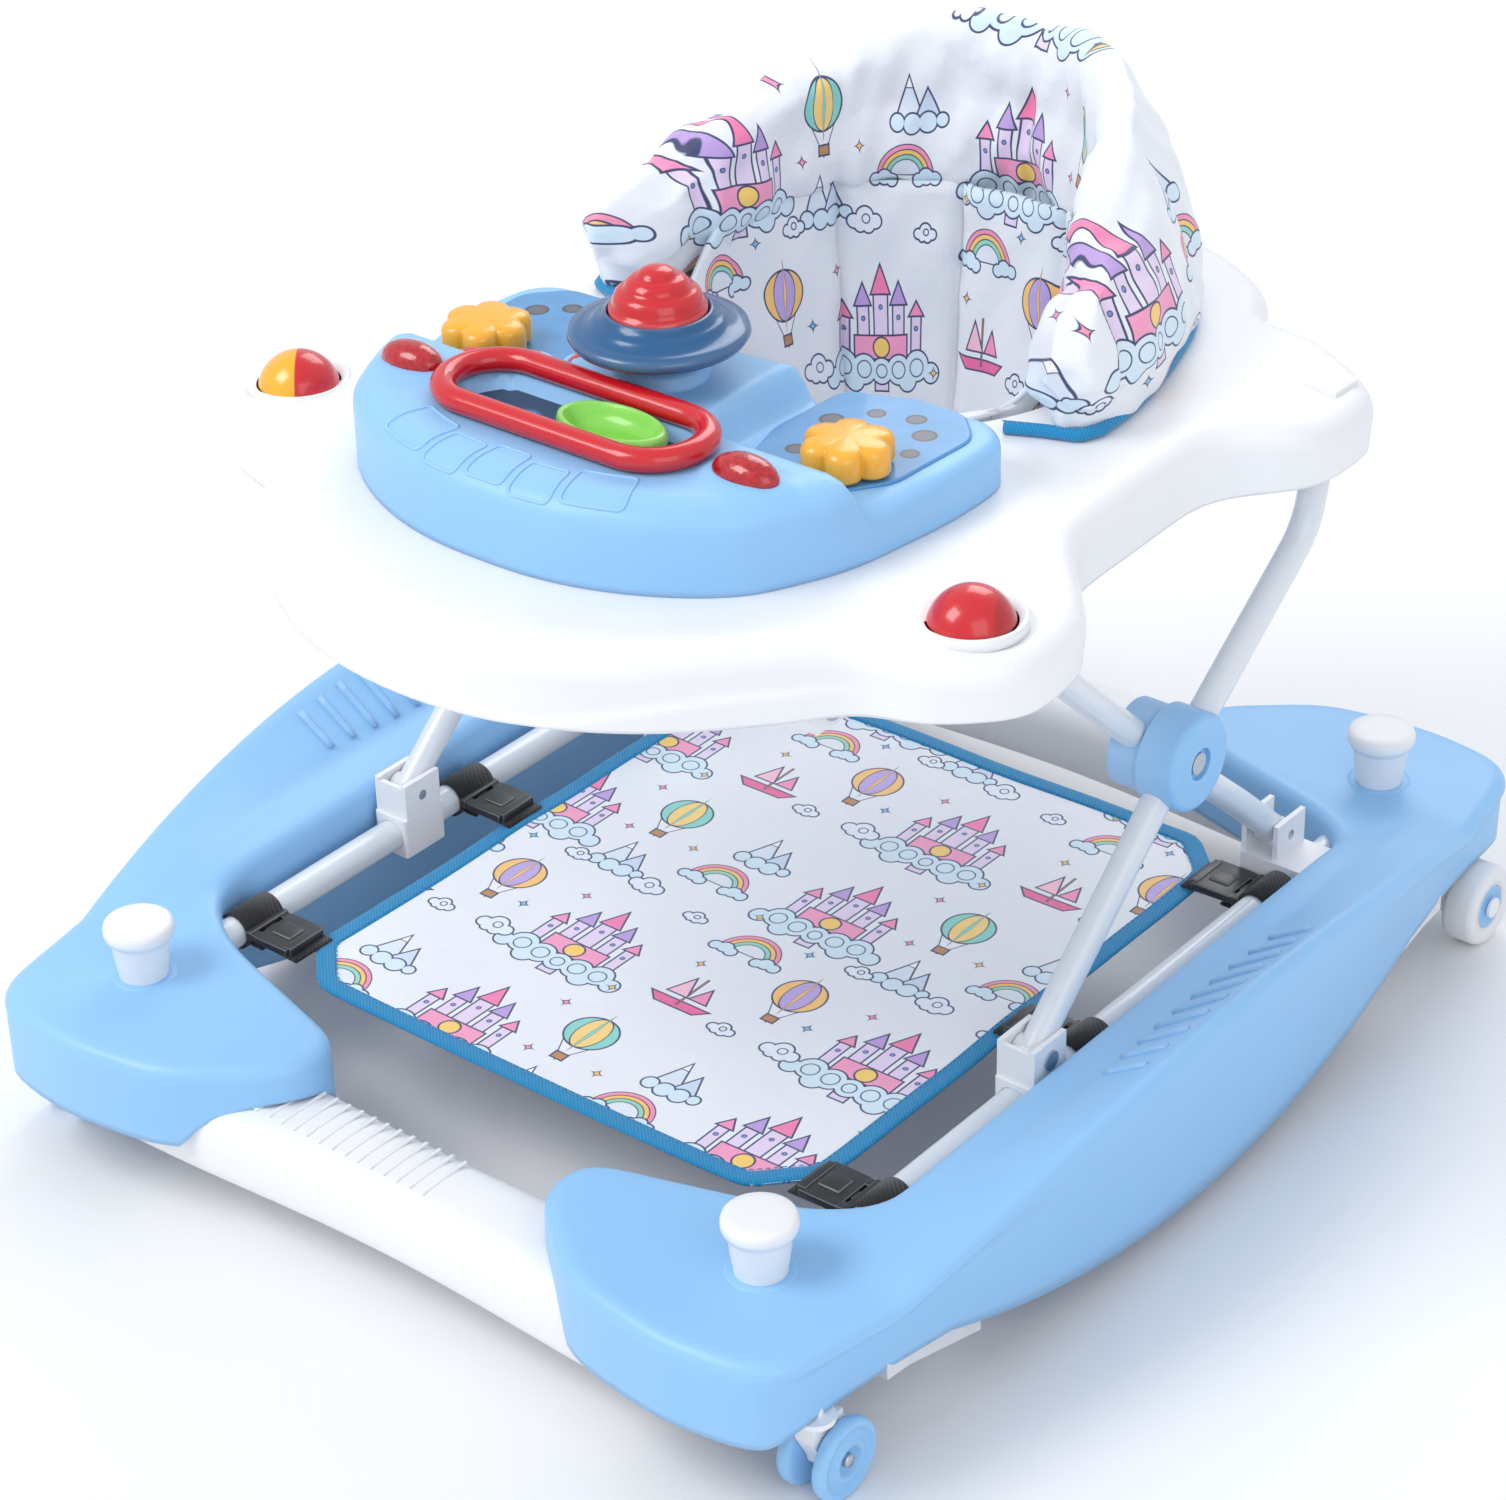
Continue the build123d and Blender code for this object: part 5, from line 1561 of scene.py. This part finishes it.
# ---------------------------------------------------------------- stage
def build_stage(walker):
    floor = bpy.data.meshes.new("floor")
    floor.from_pydata([(-6, -6, 0), (6, -6, 0), (6, 6, 0), (-6, 6, 0)], [], [(0, 1, 2, 3)])
    ground = bpy.data.objects.new("floor", floor)
    bpy.context.scene.collection.objects.link(ground)
    p = Paint("floor")
    tone = p.mix(p.noise(p.place(), 2.0), (0.86, 0.865, 0.875), (0.89, 0.895, 0.905))
    floor.materials.append(p.finish(Base_Color=tone, Roughness=0.7))
    world = bpy.data.worlds.new("studio")
    world.use_nodes = True
    world.node_tree.nodes["Background"].inputs[0].default_value = (0.93, 0.95, 1.0, 1)
    world.node_tree.nodes["Background"].inputs[1].default_value = 0.8
    bpy.context.scene.world = world
    bpy.context.scene.view_settings.view_transform = "Standard"
    for name, place, aim, size, power in (
        ("key", (-1.2, -1.9, 2.6), (0, 0, 0.25), 1.5, 44), ("fill", (2.4, -1.4, 1.7), (0, 0, 0.25), 2.0, 15),
        ("back", (-0.8, 2.2, 2.2), (0, 0, 0.3), 1.6, 24),
    ):
        lamp = bpy.data.lights.new(name, "AREA")
        lamp.energy, lamp.size = power, size
        holder = bpy.data.objects.new(name, lamp)
        holder.location = place
        holder.rotation_mode = "QUATERNION"
        holder.rotation_quaternion = (Vector(aim) - Vector(place)).to_track_quat("-Z", "Y")
        bpy.context.scene.collection.objects.link(holder)
    camera = bpy.data.objects.new("camera", bpy.data.cameras.new("camera"))
    camera.data.lens, camera.data.sensor_width = 95.35, 36
    axes = Matrix(((0.77898, -0.30397, 0.54845), (0.62661, 0.41024, -0.66263), (-0.02358, 0.85983, 0.51004)))
    camera.rotation_mode = "QUATERNION"
    camera.rotation_quaternion = axes.to_quaternion()
    camera.location = (1.1732, -1.4389, 1.2779)
    bpy.context.scene.collection.objects.link(camera)
    bpy.context.scene.camera = camera


class WALKER_OT_base(bpy.types.Operator):
    """Build the rocker mouldings, crossbars, ribs and rocking stops"""

    bl_idname = "walker.base"
    bl_label = "Rockers and crossbars"

    def execute(self, context):
        build_base(context.scene.walker)
        return {"FINISHED"}


class WALKER_OT_wheels(bpy.types.Operator):
    """Build the casters and the rear wheels"""

    bl_idname = "walker.wheels"
    bl_label = "Wheels"

    def execute(self, context):
        build_wheels(context.scene.walker)
        return {"FINISHED"}


class WALKER_OT_mat(bpy.types.Operator):
    """Build the printed mat with its binding, straps and buckles"""

    bl_idname = "walker.mat"
    bl_label = "Floor mat"

    def execute(self, context):
        build_mat(context.scene.walker)
        return {"FINISHED"}


class WALKER_OT_frame(bpy.types.Operator):
    """Paint the folding frame's tubes, brackets and hubs"""

    bl_idname = "walker.frame"
    bl_label = "Folding frame"

    def execute(self, context):
        build_frame(context.scene.walker)
        return {"FINISHED"}


class WALKER_OT_tray(bpy.types.Operator):
    """Build the white tray moulding and its rolling balls"""

    bl_idname = "walker.tray"
    bl_label = "Tray"

    def execute(self, context):
        build_tray(context.scene.walker)
        return {"FINISHED"}


class WALKER_OT_toys(bpy.types.Operator):
    """Build the toy tray and everything on it"""

    bl_idname = "walker.toys"
    bl_label = "Toy tray"

    def execute(self, context):
        build_toys(context.scene.walker)
        return {"FINISHED"}


class WALKER_OT_seat(bpy.types.Operator):
    """Build the padded head band and the hanging seat"""

    bl_idname = "walker.seat"
    bl_label = "Seat"

    def execute(self, context):
        build_seat(context.scene.walker)
        return {"FINISHED"}


class WALKER_OT_stage(bpy.types.Operator):
    """Set the floor, lights and camera"""

    bl_idname = "walker.stage"
    bl_label = "Stage"

    def execute(self, context):
        build_stage(context.scene.walker)
        return {"FINISHED"}


OPERATORS = (
    WALKER_OT_base, WALKER_OT_wheels, WALKER_OT_mat, WALKER_OT_frame,
    WALKER_OT_tray, WALKER_OT_toys, WALKER_OT_seat, WALKER_OT_stage,
)


class WALKER_PT_panel(bpy.types.Panel):
    """Sidebar panel with the walker's settings and steps."""

    bl_label = "Walker"
    bl_idname = "WALKER_PT_panel"
    bl_space_type = "VIEW_3D"
    bl_region_type = "UI"
    bl_category = "Walker"

    def draw(self, context):
        walker = context.scene.walker
        for group in (walker.colours, walker.sizes):
            box = self.layout.box()
            for key in group.__annotations__:
                box.prop(group, key)
        for operator in OPERATORS:
            self.layout.operator(operator.bl_idname)


CLASSES = (WalkerColours, WalkerSizes, WalkerSettings, *OPERATORS, WALKER_PT_panel)


def register():
    for cls in CLASSES:
        bpy.utils.register_class(cls)
    bpy.types.Scene.walker = bpy.props.PointerProperty(type=WalkerSettings)


def unregister():
    del bpy.types.Scene.walker
    for cls in reversed(CLASSES):
        bpy.utils.unregister_class(cls)


def main():
    register()
    PAINTS.update(palette(bpy.context.scene.walker))
    for operator in OPERATORS:
        getattr(bpy.ops.walker, operator.bl_idname.split(".")[1])()


if __name__ == "__main__":
    main()
